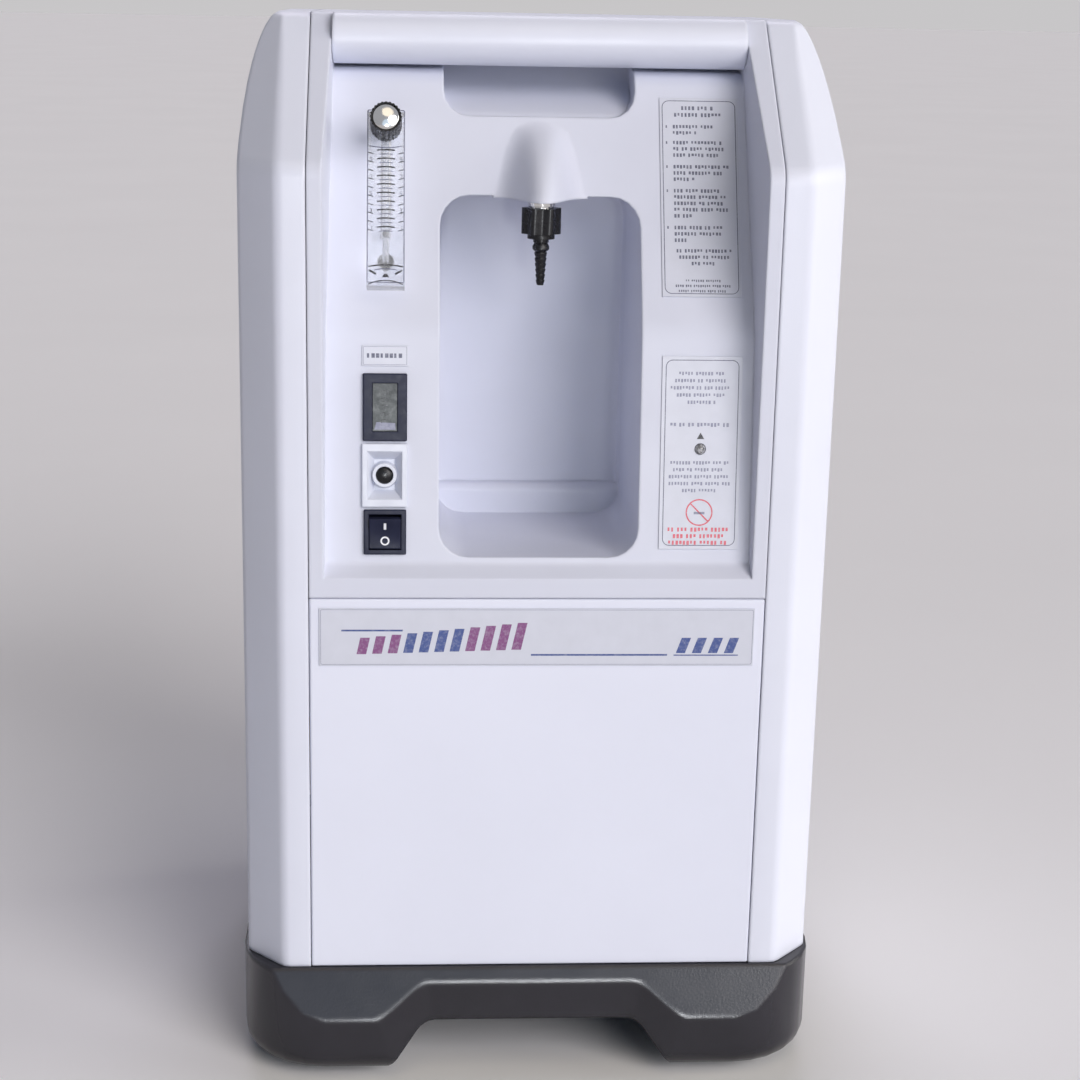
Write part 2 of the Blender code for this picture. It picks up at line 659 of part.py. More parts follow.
def caster_places():
    return [(x, y) for y in (-CASTER_Y, CASTER_Y) for x in (-CASTER_X, CASTER_X)]


def caster(label, x, y):
    swivel = empty("caster_" + label + "_axis", (x, y, 0))
    fork = rod("caster_" + label + "_fork", 0.017, (0, 0, 0.0572), (0, 0, 0.0602), swivel, segments=24)
    side_view = rounded([(-0.010, 0.0585, 0), (-0.006, 0.040, 0.006), (0.0040, 0.0180, 0.004),
                         (0.0200, 0.0180, 0.005), (0.0200, 0.030, 0.006), (0.012, 0.0585, 0)], steps=3)
    legs = [prism("leg", side_view, "x", low, high, swivel)
            for low, high in ((-0.0128, -0.0103), (0.0103, 0.0128))]
    stem = rod("stem", 0.0042, (0, 0, 0.0590), (0, 0, 0.0642), swivel, segments=16)
    join(fork, *legs, stem)
    cut(fork, rod("axle_bore", 0.0033, (-0.02, TRAIL, WHEEL_RADIUS), (0.02, TRAIL, WHEEL_RADIUS), swivel,
                  16))
    finish(fork, "steel")

    half, radius = WHEEL_HALF_WIDTH, WHEEL_RADIUS
    tread = [(0.0033, half), (0.0075, half), (0.0085, half - 0.002), (0.0175, half - 0.002),
             (0.0185, half), (radius - 0.002, half), (radius, half - 0.002)]
    profile = tread + [(r, -z) for r, z in reversed(tread)]
    wheel = turned("caster_" + label + "_wheel", profile, swivel, (0, TRAIL, radius), "x", 32, ring=True)
    finish(wheel, "rubber")
    pin = [(0.0, 0.0146), (0.0046, 0.0146), (0.0046, 0.0132), (0.0030, 0.0132)]
    pin += [(r, -z) for r, z in reversed(pin)]
    finish(turned("caster_" + label + "_axle", pin, swivel, (0, TRAIL, radius), "x", 16), "steel")


# ---------------------------------------------------------------- controls on the panel
def knob_outline():
    """Circle with fine grip ribs."""
    points, groove = 48, 0.0007
    outline = []
    for index in range(points):
        angle = math.tau * index / points
        radius = KNOB_RADIUS - (groove if index % 2 else 0.0)
        outline.append((radius * math.cos(angle), radius * math.sin(angle)))
    return outline


def flowmeter(frame):
    width, depth, height = METER_SIZE
    top = METER_FOOT + height
    side_view = rounded([(-GAP, METER_FOOT, 0.002), (-GAP, top, 0.003), (-GAP - depth, top, 0.003),
                         (-GAP - depth, METER_FOOT, 0.010)], steps=4)
    block = prism("flowmeter_body", side_view, "x", -width / 2, width / 2, frame)
    studs = [rod("stud", 0.0048, (0, -0.003, z), (0, 0.014, z), frame, 16) for z in (0, -0.084)]
    join(block, *studs)
    seat = FLOAT_REST - FLOAT_RADIUS - 0.0003
    cut(block,
        rod("float_bore", 0.0034, (0, -0.010, seat), (0, -0.010, 0.0040), frame, 20),
        rod("inlet_bore", 0.0020, (0, -0.010, -0.0865), (0, -0.010, seat + OVERLAP), frame, 12),
        rod("low_port", 0.0018, (0, -0.010, -0.084), (0, 0.02, -0.084), frame, 12),
        rod("high_port", 0.0019, (0, -0.010, 0), (0, 0.02, 0), frame, 12),
        rod("stem_bore", 0.0033, (0, -0.03, 0), (0, -0.0120, 0), frame, 16))
    finish(block, "acrylic")

    finish(ball("flowmeter_float", (FLOAT_RADIUS,) * 3, (0, -0.010, FLOAT_REST), frame, 16), "black_plastic")
    finish(rod("flowmeter_stem", 0.0030, (0, -0.0300, 0), (0, -0.0145, 0), frame, 16), "steel")
    knob = prism("flowmeter_knob", knob_outline(), "y", -0.0385, -0.0203, frame)
    cut(knob, rod("knob_bore", 0.0033, (0, -0.0310, 0), (0, -0.01, 0), frame, 16),
        rod("cap_seat", 0.0088, (0, -0.05, 0), (0, -0.0372, 0), frame, 28))
    finish(knob, "black_plastic")
    dome = [(0.0, 0.0402), (0.0030, 0.0400), (0.0058, 0.0394), (0.0078, 0.0385), (0.0084, 0.0379),
            (0.0084, 0.0375), (0.0, 0.0375)]
    finish(turned("flowmeter_knob_cap", dome, frame, axis="y", segments=28), "chrome")


def hour_meter(frame):
    case = box("hour_meter_case", (-0.0141, -0.0027, -0.0216), (0.0141, -GAP, 0.0216), frame, 0.0008)
    join(case, box("body", (-0.0118, -0.0012, -0.0183), (0.0118, 0.022, 0.0183), frame))
    cut(case, box("window_seat", (-0.0080, -0.01, -0.0155), (0.0080, -0.0007, 0.0155), frame))
    finish(case, "navy_plastic")
    finish(box("hour_meter_window", (-0.0077, -0.0018, -0.0152), (0.0077, -0.0010, 0.0152), frame), "lcd")


def pit(name, mouth, floor, face, depth, parent):
    """Four-sided pit whose walls close in from half sizes mouth at the face to floor at its depth."""
    above = 0.004
    builder = bmesh.new()
    rings = []
    for y in (face - above, depth):
        share = (y - face) / (depth - face)
        half_x, half_z = [wide + (narrow - wide) * share for wide, narrow in zip(mouth, floor)]
        rings.append([builder.verts.new((x * half_x, y, z * half_z))
                      for x, z in ((-1, -1), (1, -1), (1, 1), (-1, 1))])
    outer, inner = rings
    for index in range(4):
        after = (index + 1) % 4
        builder.faces.new((outer[index], outer[after], inner[after], inner[index]))
    builder.faces.new(outer)
    builder.faces.new(inner)
    return add(name, mesh_of(name, builder), parent)


def breaker(frame):
    face = -0.0025
    bezel = box("breaker_bezel", (-0.0145, face, -0.0205), (0.0145, -GAP, 0.0205), frame, 0.0007)
    join(bezel, box("barrel", (-0.0118, -0.0010, -0.0165), (0.0118, 0.020, 0.0165), frame))
    cut(bezel, pit("dish", (0.0112, 0.0155), (0.0066, 0.0100), face, 0.0040, frame))
    join(bezel, rod("collar", 0.0078, (0, -0.0008, 0), (0, 0.008, 0), frame, end_radius=0.0095))
    cut(bezel, rod("button_bore", 0.0056, (0, -0.02, 0), (0, 0.0160, 0), frame))
    finish(bezel, "bezel_plastic")
    push = [(0.0, 0.0020), (0.0034, 0.0018), (0.0047, 0.0011), (0.0052, 0.0003), (0.0052, -0.0120),
            (0.0, -0.0120)]
    finish(turned("breaker_button", push, frame, axis="y", segments=24), "black_plastic")


def rocker_switch(frame):
    bezel = box("switch_bezel", (-0.0136, -0.0027, -0.0146), (0.0136, -GAP, 0.0146), frame, 0.0008)
    join(bezel, box("housing", (-0.0118, -0.0012, -0.0128), (0.0118, 0.022, 0.0128), frame))
    cut(bezel, box("rocker_bay", (-0.0104, -0.02, -0.0115), (0.0104, 0.016, 0.0115), frame))
    finish(bezel, "navy_plastic")
    tilt = math.radians(10)
    level = [(-0.0036, 0.0), (-0.0054, -0.0098), (0.0010, -0.0098), (0.0060, -0.0050), (0.0060, 0.0050),
             (0.0010, 0.0098), (-0.0054, 0.0098)]
    cos, sin = math.cos(tilt), math.sin(tilt)
    tipped = [(y * cos - z * sin, y * sin + z * cos) for y, z in level]
    rocker = prism("switch_rocker", tipped, "x", -0.0100, 0.0100, frame)
    rocker.location = (0, 0.001, 0)
    finish(rocker, "navy_plastic", smooth=False)


def status_light(frame):
    lens = [(0.0, 0.0032), (0.0018, 0.0029), (0.0030, 0.0020), (LIGHT_RADIUS, 0.0010),
            (LIGHT_RADIUS, -0.0080), (0.0, -0.0080)]
    finish(turned("status_light", lens, frame, axis="y", segments=20), "acrylic")


def labels(lower, upper):
    """Thin printed plates, a gap off the surface that carries them."""
    thin = 0.0004
    surface = -GAP - thin
    plate = box("name_plate", (-0.141, FRONT_Y + surface, 0.2903), (0.141, FRONT_Y - GAP, 0.3290))
    serial = box("serial_label", (-0.0145, surface, -0.0065), (0.0145, -GAP, 0.0065), lower["serial"])
    alarm = box("alarm_label", (-0.0256, surface, -0.0624), (0.0262, -GAP, 0.0624), lower["alarm"])
    cut(alarm, rod("light_window", LIGHT_RADIUS + GAP, (0, -0.01, 0), (0, 0.01, 0), lower["light"]))
    instruction = box("instruction_label", (-0.0255, surface, -0.0665), (0.0255, -GAP, 0.0665),
                      upper["instruction"])
    for label in (plate, serial, alarm, instruction):
        finish(label, "label", False)


# ---------------------------------------------------------------- oxygen outlet
def barb_profile(top):
    """Flange held by the nut, a collar under it and a tapering tail of ribs, about a through bore."""
    bore, ribs, taper = 0.0015, 6, 0.00025
    profile = [(bore, top - 0.0154), (0.0070, top - 0.0154), (0.0070, top - 0.0177),
               (0.0050, top - 0.0177), (0.0050, top - 0.0262), (0.0043, top - 0.0270),
               (0.0054, top - 0.0288), (0.0054, top - 0.0308), (0.0036, top - 0.0326)]
    radius, z = 0.0042, top - 0.0332
    for _ in range(ribs):
        profile += [(radius, z), (radius - 0.0008, z - 0.0030)]
        radius -= taper
        z -= 0.0035
    return profile + [(bore, z + 0.0003)]


def outlet():
    top = SPOUT_BOTTOM_Z
    nipple = turned("outlet_nipple", [
        (0.0060, top + 0.016), (0.0060, top - 0.0006), (0.0086, top - 0.0006), (0.0086, top - 0.0034),
        (0.0071, top - 0.0034), (0.0071, top - 0.0150), (0.0022, top - 0.0150), (0.0022, top + 0.016),
    ], location=(0, SPOUT_Y, 0), segments=24, ring=True)
    finish(nipple, "chrome")
    wings = []
    for index in range(48):
        angle = math.tau * index / 48
        radius = 0.0112 + 0.0014 * math.cos(6 * angle)
        wings.append((radius * math.cos(angle), radius * math.sin(angle)))
    axis = empty("outlet_axis", (0, SPOUT_Y, 0))
    nut = prism("outlet_nut", wings, "z", top - 0.0210, top - 0.0045, axis)
    join(nut, rod("skirt", 0.0088, (0, 0, top - 0.0240), (0, 0, top - 0.0200), axis))
    cut(nut, rod("thread_bore", 0.0074, (0, 0, top - 0.0180), (0, 0, top), axis),
        rod("neck_bore", 0.0058, (0, 0, top - 0.03), (0, 0, top - 0.01), axis))
    finish(nut, "black_plastic")
    finish(turned("outlet_barb", barb_profile(top), location=(0, SPOUT_Y, 0), segments=20, ring=True),
           "black_plastic")


# ---------------------------------------------------------------- rear fittings
def rear_fittings():
    low, high = FILTER_LOW_Z, FILTER_HIGH_Z
    grille = box("intake_grille", (-FILTER_X - 0.003, REAR_Y - 0.020, low - 0.003),
                 (FILTER_X + 0.003, REAR_Y - 0.0005, high + 0.003))
    cut(grille, box("filter_bay", (-FILTER_X, REAR_Y - 0.0165, low), (FILTER_X, REAR_Y + 0.02, high)))
    slots = []
    rows = 6
    pitch = (high - low - 0.012) / rows
    for row in range(rows):
        z = low + 0.006 + pitch * row
        slots.append(box("intake_slot", (-FILTER_X + 0.008, 0.1, z + 0.002),
                         (FILTER_X - 0.008, 0.2, z + pitch - 0.003)))
    cut(grille, *slots)
    finish(grille, "base_plastic", False)
    finish(box("intake_filter", (-FILTER_X + 0.0006, REAR_Y - 0.0160, low + 0.0006),
               (FILTER_X - 0.0006, REAR_Y - 0.0010, high - 0.0006), bevel=0.002, segments=1), "foam", False)

    low, high = EXHAUST_LOW_Z + 0.0005, EXHAUST_HIGH_Z - 0.0005
    vent = box("exhaust_grille", (-EXHAUST_X + 0.0005, REAR_Y - 0.004, low),
               (EXHAUST_X - 0.0005, REAR_Y - 0.0002, high))
    rows = 8
    pitch = (high - low - 0.010) / rows
    slots = []
    for row in range(rows):
        z = low + 0.005 + pitch * row
        slots.append(box("exhaust_slot", (-EXHAUST_X + 0.009, 0.1, z + 0.002),
                         (EXHAUST_X - 0.009, 0.2, z + pitch - 0.002)))
    cut(vent, *slots)
    finish(vent, "base_plastic", False)
    profile = [(0.0045, 0.010), (0.0080, 0.010), (0.0080, -GAP), (0.0125, -GAP), (0.0125, -0.0032),
               (0.0090, -0.0060), (0.0070, -0.0120), (0.0045, -0.0120)]
    profile = list(reversed([(radius, -height) for radius, height in profile]))
    gland = turned("cord_gland", profile, location=(GLAND_X, REAR_Y, GLAND_Z), axis="y", segments=24,
                   ring=True)
    gland.rotation_euler = (-math.pi / 2, 0, 0)
    finish(gland, "black_plastic")


# ---------------------------------------------------------------- works inside
def chassis():
    outline = rounded(rectangle(0.174, -0.152, 0.152, 0.030), steps=3)
    finish(prism("chassis_plate", outline, "z", DECK_Z, DECK_Z + 0.002), "steel", False)
    shelf = box("upper_shelf", (-0.150, -0.014, SHELF_Z), (0.150, 0.142, SHELF_Z + 0.002))
    foot = DECK_Z + 0.002 + GAP
    legs = [box("shelf_leg", (x - 0.006, y - 0.006, foot), (x + 0.006, y + 0.006, SHELF_Z + OVERLAP))
            for x in (-0.143, 0.143) for y in (-0.008, 0.134)]
    join(shelf, *legs)
    finish(shelf, "steel", False)


def compressor():
    y, z = MOTOR_AXIS
    bore = 0.0090
    motor = rod("compressor_motor", 0.052, (-0.055, y, z), (0.055, y, z), segments=32)
    feet = box("feet", (-0.045, y - 0.045, DECK_Z + 0.002 + GAP), (0.045, y + 0.045, DECK_Z + 0.012))
    saddle = box("saddle", (-0.040, y - 0.025, DECK_Z + 0.010), (0.040, y + 0.025, z - 0.03))
    join(motor, feet, saddle)
    cut(motor, rod("motor_bore", bore, (-0.1, y, z), (0.1, y, z), segments=16))
    finish(motor, "aluminium")
    for label, side in (("left", -1), ("right", 1)):
        head = box("compressor_head_" + label, (min(side * 0.0555, side * 0.105), y - 0.034, z - 0.038),
                   (max(side * 0.0555, side * 0.105), y + 0.034, z + 0.034), bevel=0.004, segments=1)
        join(head, rod("cylinder", 0.026, (side * 0.081, y, z + 0.030), (side * 0.081, y, z + 0.062)),
             box("cylinder_head", (side * 0.081 - 0.029, y - 0.029, z + 0.060),
                 (side * 0.081 + 0.029, y + 0.029, z + 0.074), bevel=0.002, segments=1))
        cut(head, rod("crank_bore", bore, (side * 0.04, y, z), (side * 0.13, y, z), segments=16))
        finish(head, "aluminium")
    shaft = rod("compressor_shaft", 0.0060, (-0.130, y, z), (0.130, y, z), segments=16)
    for side in (-1, 1):
        hub = rod("fan_hub", 0.014, (side * 0.112, y, z), (side * 0.126, y, z), segments=16)
        join(shaft, hub)
        for index in range(5):
            blade = box("fan_blade", (-0.0055, -0.009, 0.010), (0.0055, 0.009, 0.038))
            blade.rotation_euler = Euler((math.tau * index / 5, 0, 0))
            blade.location = (side * 0.119, y, z)
            join(shaft, blade)
    finish(shaft, "aluminium")


def gas_circuit():
    for label, side in (("left", -1), ("right", 1)):
        x, y, foot = side * 0.100, 0.085, SHELF_Z + 0.002 + GAP
        bed = turned("sieve_bed_" + label, [
            (0.0, 0.345), (0.012, 0.345), (0.012, 0.338), (0.043, 0.338), (0.045, 0.335), (0.045, 0.324),
            (0.042, 0.322), (0.042, 0.016), (0.045, 0.014), (0.045, 0.0), (0.0, 0.0)],
            location=(x, y, foot), segments=28)
        finish(bed, "aluminium")
    finish(turned("product_tank", [
        (0.0, 0.230), (0.018, 0.226), (0.030, 0.216), (0.036, 0.200), (0.036, 0.012), (0.030, 0.0),
        (0.0, 0.0)],
        location=(0, 0.085, SHELF_Z + 0.002 + GAP), segments=28), "aluminium")
    manifold = box("valve_manifold", (-0.120, 0.062, 0.6100), (0.120, 0.102, 0.6320), bevel=0.002,
                   segments=1)
    coils = [rod("solenoid", 0.013, (x, 0.082, 0.631), (x, 0.082, 0.664), segments=16)
             for x in (-0.06, -0.02, 0.02, 0.06)]
    join(manifold, *coils)
    finish(manifold, "aluminium")
    turns, steps, pitch = 3, 14, 0.0075
    coil = []
    for step in range(turns * steps + 1):
        angle = math.tau * step / steps
        coil.append((-0.163 + pitch * step / steps, MOTOR_AXIS[0] + 0.028 * math.cos(angle),
                     MOTOR_AXIS[1] + 0.028 * math.sin(angle)))
    finish(tube("cooling_coil", coil, 0.0030, sides=1), "copper")
    finish(turned("intake_silencer", [
        (0.0, 0.110), (0.010, 0.110), (0.010, 0.100), (0.030, 0.096), (0.032, 0.090), (0.032, 0.0),
        (0.0, 0.0)],
        location=(-0.115, -0.095, DECK_Z + 0.002 + GAP), segments=24), "black_plastic")
    hose = smooth_path([(0.0, 0.085, 0.505), (0.0, 0.085, 0.530), (0.0, 0.060, 0.575), (0.0, 0.020, 0.612),
                        (0.0, -0.020, 0.616), (0.0, -0.060, 0.616), (0.0, -0.088, 0.613)], spans=4)
    finish(tube("product_hose", hose, 0.0045, sides=2), "hose")


def electrics():
    board = box("control_board", (0.078, -0.092, 0.360), (0.138, -0.0904, 0.490))
    places = ((0.084, 0.370, 0.022, 0.014, 0.030), (0.112, 0.372, 0.018, 0.018, 0.018),
              (0.086, 0.420, 0.040, 0.008, 0.012), (0.090, 0.450, 0.014, 0.010, 0.026),
              (0.116, 0.448, 0.012, 0.012, 0.022))
    chips = [box("chip", (x, -0.0912, z), (x + dx, -0.0912 + dy, z + dz)) for x, z, dx, dy, dz in places]
    join(board, *chips)
    finish(board, "circuit", False)
    core = box("transformer", (0.080, -0.120, DECK_Z + 0.002 + GAP), (0.150, -0.062, DECK_Z + 0.060))
    join(core, box("winding", (0.095, -0.132, DECK_Z + 0.010), (0.135, -0.050, DECK_Z + 0.050), bevel=0.004))
    finish(core, "steel", False)
    can = [(0.0, 0.095), (0.019, 0.095), (0.021, 0.092), (0.021, 0.0), (0.0, 0.0)]
    finish(turned("motor_capacitor", can, location=(-0.02, -0.105, DECK_Z + 0.002 + GAP), segments=24),
           "aluminium")


def cabinet_fan():
    y_low, y_high = REAR_Y - 0.044, REAR_Y - 0.019
    z = (EXHAUST_LOW_Z + EXHAUST_HIGH_Z) / 2
    half = 0.040
    frame = box("cooling_fan_frame", (-half, y_low, z - half), (half, y_high, z + half), bevel=0.002,
                segments=1)
    cut(frame, rod("fan_tunnel", 0.0365, (0, 0.1, z), (0, 0.2, z), segments=32))
    spider = [box("spoke", (-0.0385, y_high - 0.004, z - 0.002), (0.0385, y_high - 0.001, z + 0.002)),
              box("spoke", (-0.002, y_high - 0.004, z - 0.0385), (0.002, y_high - 0.001, z + 0.0385)),
              rod("fan_seat", 0.014, (0, y_high - 0.004, z), (0, y_high - 0.001, z))]
    join(frame, *spider)
    finish(frame, "black_plastic", False)
    rotor = rod("cooling_fan_rotor", 0.015, (0, -0.008, 0), (0, 0.008, 0), segments=20)
    for index in range(7):
        blade = box("blade", (-0.0008, -0.006, 0.012), (0.0008, 0.006, 0.034))
        around = Matrix.Rotation(math.tau * index / 7, 3, "Y")
        blade.rotation_euler = (around @ Matrix.Rotation(0.6, 3, "Z")).to_euler()
        blade.parent = rotor
        join(rotor, blade)
    rotor.location = (0, (y_low + y_high) / 2 - 0.003, z)
    finish(rotor, "black_plastic")


# ---------------------------------------------------------------- assembly
def panel_frames():
    """Frames for whatever sits on the two leaning fields of the control panel."""
    lower = {
        "hours": (HOURS_X, HOURS_Z), "breaker": (BREAKER_X, BREAKER_Z), "switch": (SWITCH_X, SWITCH_Z),
        "light": (LIGHT_X, LIGHT_Z), "serial": (HOURS_X, 0.4889), "alarm": (LIGHT_X, 0.4280),
    }
    upper = {"meter": (METER_X, METER_Z), "instruction": (0.1033, 0.5876)}
    return (
        {key: empty("frame_" + key, lower_point(*place), LOWER_LEAN) for key, place in lower.items()},
        {key: empty("frame_" + key, upper_point(*place), UPPER_LEAN) for key, place in upper.items()},
    )


def main():
    lower, upper = panel_frames()
    base()
    side_shell("left_side_shell", -1)
    side_shell("right_side_shell", 1)
    lower_front_panel()
    control_panel(lower, upper)
    top_cover()
    rear_panel()
    for label, (x, y) in zip(("front_left", "front_right", "rear_left", "rear_right"), caster_places()):
        caster(label, x, y)
    flowmeter(upper["meter"])
    hour_meter(lower["hours"])
    breaker(lower["breaker"])
    rocker_switch(lower["switch"])
    status_light(lower["light"])
    labels(lower, upper)
    outlet()
    rear_fittings()
    chassis()
    compressor()
    gas_circuit()
    electrics()
    cabinet_fan()


main()
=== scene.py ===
import json
import math
import random

import bmesh
import bpy
import numpy as np
from mathutils import Matrix, Vector


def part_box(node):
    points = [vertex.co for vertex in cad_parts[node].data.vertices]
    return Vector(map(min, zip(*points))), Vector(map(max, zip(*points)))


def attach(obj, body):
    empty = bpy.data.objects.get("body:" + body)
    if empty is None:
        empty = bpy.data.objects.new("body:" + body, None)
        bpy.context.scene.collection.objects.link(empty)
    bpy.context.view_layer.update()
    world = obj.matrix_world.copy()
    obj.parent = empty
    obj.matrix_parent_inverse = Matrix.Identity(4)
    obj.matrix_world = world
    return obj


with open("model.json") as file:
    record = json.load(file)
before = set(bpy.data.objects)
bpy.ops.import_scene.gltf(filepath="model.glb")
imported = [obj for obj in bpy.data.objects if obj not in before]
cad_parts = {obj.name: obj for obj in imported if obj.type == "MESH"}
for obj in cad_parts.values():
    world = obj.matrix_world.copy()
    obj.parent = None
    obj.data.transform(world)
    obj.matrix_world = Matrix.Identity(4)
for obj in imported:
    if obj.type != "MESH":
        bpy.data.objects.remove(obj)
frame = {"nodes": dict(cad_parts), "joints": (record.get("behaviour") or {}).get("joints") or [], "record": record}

NODES = frame["nodes"]
JOINTS = {joint["name"]: joint for joint in frame["joints"]}
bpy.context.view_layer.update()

SMOOTH_ANGLE = 38.0         # neighbouring facets closer than this, in degrees, shade as one surface
CRISP_ANGLES = {"base": 20.0, "breaker_bezel": 30.0, "intake_grille": 20.0}
FILM = 0.00006              # how far printed artwork stands off its carrier

# Camera: where it stands, its axes, and its lens
EYE = (-0.09184, -1.45973, 0.71154)
LOOK = (0.06072, 0.96590, -0.25171)
RIGHT = (0.99815, -0.05797, 0.01836)
LENS = 69.71
SENSOR = 36.0
SHIFT = (0.01555, -0.00065)


# ---------------------------------------------------------------- shading of the CAD nodes
def soften(node):
    """Corner normals that run smoothly over the facets of each curved surface.

    A facet counts by the area of the whole plane it lies in, so flat fields stay flat.
    """
    mesh = node.data
    points = np.empty(len(mesh.vertices) * 3, np.float32)
    mesh.vertices.foreach_get("co", points)
    points = points.reshape(-1, 3)
    normals = np.array([polygon.normal for polygon in mesh.polygons])
    centres = np.array([polygon.center for polygon in mesh.polygons])
    offsets = (normals * centres).sum(1)
    planes, plane_area = [], {}
    for polygon, normal, offset in zip(mesh.polygons, normals, offsets):
        key = (*np.round(normal, 3), round(float(offset), 4))
        planes.append(key)
        plane_area[key] = plane_area.get(key, 0.0) + polygon.area
    weight = np.array([plane_area[key] for key in planes])
    meeting = {}
    for polygon in mesh.polygons:
        for loop in polygon.loop_indices:
            key = tuple(np.round(points[mesh.loops[loop].vertex_index] * 1e5).astype(int))
            meeting.setdefault(key, []).append((loop, polygon.index))
    limit = math.cos(math.radians(CRISP_ANGLES.get(node.name, SMOOTH_ANGLE)))
    corner = np.zeros((len(mesh.loops), 3))
    for around in meeting.values():
        faces = sorted({face for _, face in around})
        faces_n = normals[faces]
        close = (faces_n @ faces_n.T) > limit
        blended = close @ (faces_n * weight[faces][:, None])
        row = {face: index for index, face in enumerate(faces)}
        for loop, face in around:
            corner[loop] = blended[row[face]]
    corner /= np.maximum(np.linalg.norm(corner, axis=1, keepdims=True), 1e-12)
    mesh.shade_smooth()
    mesh.normals_split_custom_set([tuple(normal) for normal in corner])


# ---------------------------------------------------------------- material building
class Look:
    """One material's node tree, with short calls for the nodes that the looks share."""

    def __init__(self, name, **settings):
        self.material = bpy.data.materials.new("look_" + name)
        self.material.use_nodes = True
        self.tree = self.material.node_tree
        self.shader = self.tree.nodes["Principled BSDF"]
        self.where = self.node("ShaderNodeTexCoord").outputs["Object"]
        for socket, value in settings.items():
            self.shader.inputs[socket.replace("_", " ")].default_value = value

    def node(self, kind, inputs=None, **settings):
        made = self.tree.nodes.new(kind)
        for key, value in settings.items():
            setattr(made, key, value)
        for key, value in (inputs or {}).items():
            if isinstance(value, bpy.types.NodeSocket):
                self.tree.links.new(value, made.inputs[key])
            else:
                made.inputs[key].default_value = value
        return made

    def drive(self, socket, value):
        self.tree.links.new(value, self.shader.inputs[socket])

    def stretched(self, scale):
        return self.node("ShaderNodeMapping", {"Vector": self.where, "Scale": scale}).outputs[0]

    def noise(self, size, detail=3.0, where=None):
        """Cloudy values from 0 to 1 whose blotches are about size metres across."""
        return self.node("ShaderNodeTexNoise", {"Vector": where or self.where, "Scale": 1.0 / size,
                                                "Detail": detail, "Roughness": 0.55}).outputs["Fac"]

    def cells(self, size, feature="F1", where=None):
        return self.node("ShaderNodeTexVoronoi", {"Vector": where or self.where, "Scale": 1.0 / size},
                         feature=feature).outputs["Distance"]

    def maths(self, operation, first, second=0.0, third=0.0):
        return self.node("ShaderNodeMath", {0: first, 1: second, 2: third},
                         operation=operation).outputs[0]

    def spread(self, value, low, high, start=0.3, end=0.7):
        """value from start to end becomes low to high."""
        return self.node("ShaderNodeMapRange", {"Value": value, "From Min": start, "From Max": end,
                                                "To Min": low, "To Max": high}).outputs[0]

    def blend(self, factor, first, second):
        mix = self.node("ShaderNodeMix", data_type="RGBA")
        for index, value in ((0, factor), (6, first), (7, second)):
            if isinstance(value, bpy.types.NodeSocket):
                self.tree.links.new(value, mix.inputs[index])
            else:
                mix.inputs[index].default_value = value
        return mix.outputs[2]

    def edge(self, radius):
        """Normal of the surface with its sharp edges rounded to radius."""
        return self.node("ShaderNodeBevel", {"Radius": radius}, samples=6).outputs[0]

    def relief(self, height, depth, under=None):
        inputs = {"Height": height, "Distance": depth, "Strength": 1.0}
        if under is not None:
            inputs["Normal"] = under
        return self.node("ShaderNodeBump", inputs).outputs[0]

    def sharp_edge_mask(self, rounded):
        """0 on open surfaces, rising to 1 along sharp edges."""
        flat = self.node("ShaderNodeNewGeometry").outputs["Normal"]
        likeness = self.node("ShaderNodeVectorMath", {0: rounded, 1: flat},
                             operation="DOT_PRODUCT").outputs["Value"]
        return self.spread(likeness, 1.0, 0.0, 0.75, 0.995)


def rgb(red, green, blue):
    return (red, green, blue, 1.0)


def toned(colour, factor):
    return rgb(*(min(1.0, part * factor) for part in colour[:3]))


def moulded(name, colour, rough, grain, depth, edge, edge_lightening=1.06, blotch=0.09, change=0.04, **settings):
    """Moulded plastic: cloudy colour, a fine grain, soft edges lightened a little, by wear and, where the edge
    factor is high as on the control panel, by a painted highlight along the rims.
    """
    look = Look(name, **settings)
    cloud = look.noise(blotch, 4.0)
    body = look.blend(look.spread(cloud, 0.0, 1.0), toned(colour, 1 - change), toned(colour, 1 + change))
    rounded = look.edge(edge)
    rubbed_and_highlit_edges = look.maths("MULTIPLY", look.sharp_edge_mask(rounded), look.spread(look.noise(0.02), 0.3, 1.0))
    # edges lightened: rubbing wear, and on the control panel a painted highlight along the rims
    look.drive("Base Color", look.blend(rubbed_and_highlit_edges, body, toned(colour, edge_lightening)))
    patches = look.spread(look.noise(blotch / 3, 5.0), rough - 0.05, rough + 0.06)
    look.drive("Roughness", look.maths("MULTIPLY_ADD", rubbed_and_highlit_edges, -0.10, patches))
    skin = look.maths("MULTIPLY_ADD", look.cells(grain), -0.6, look.noise(grain * 0.6, 2.0))
    look.drive("Normal", look.relief(skin, depth, rounded))
    return look.material


def leather(name, colour):
    """Dark moulded plastic with a pebbled grain, faintly dusty and rubbed pale along its edges."""
    look = Look(name)
    cloud = look.noise(0.05, 5.0)
    rounded = look.edge(0.0045)
    edge_lightening = look.maths("MULTIPLY", look.sharp_edge_mask(rounded), look.spread(look.noise(0.012, 4.0), 0.0, 1.0))
    body = look.blend(look.spread(cloud, 0.0, 1.0), toned(colour, 0.92), toned(colour, 1.10))
    dust = look.spread(look.noise(0.06, 6.0), 0.0, 1.0, 0.45, 0.85)
    body = look.blend(look.maths("MULTIPLY", dust, 0.12), body, toned(colour, 1.8))
    look.drive("Base Color", look.blend(look.maths("MULTIPLY", edge_lightening, 0.5), body, toned(colour, 3.0)))
    look.drive("Roughness", look.spread(look.noise(0.02, 5.0), 0.21, 0.25))
    pebbles = look.cells(0.0014, "SMOOTH_F1")
    height = look.maths("MULTIPLY_ADD", look.noise(0.0008, 2.0), 0.4, pebbles)
    look.drive("Normal", look.relief(height, 0.00004, rounded))
    return look.material


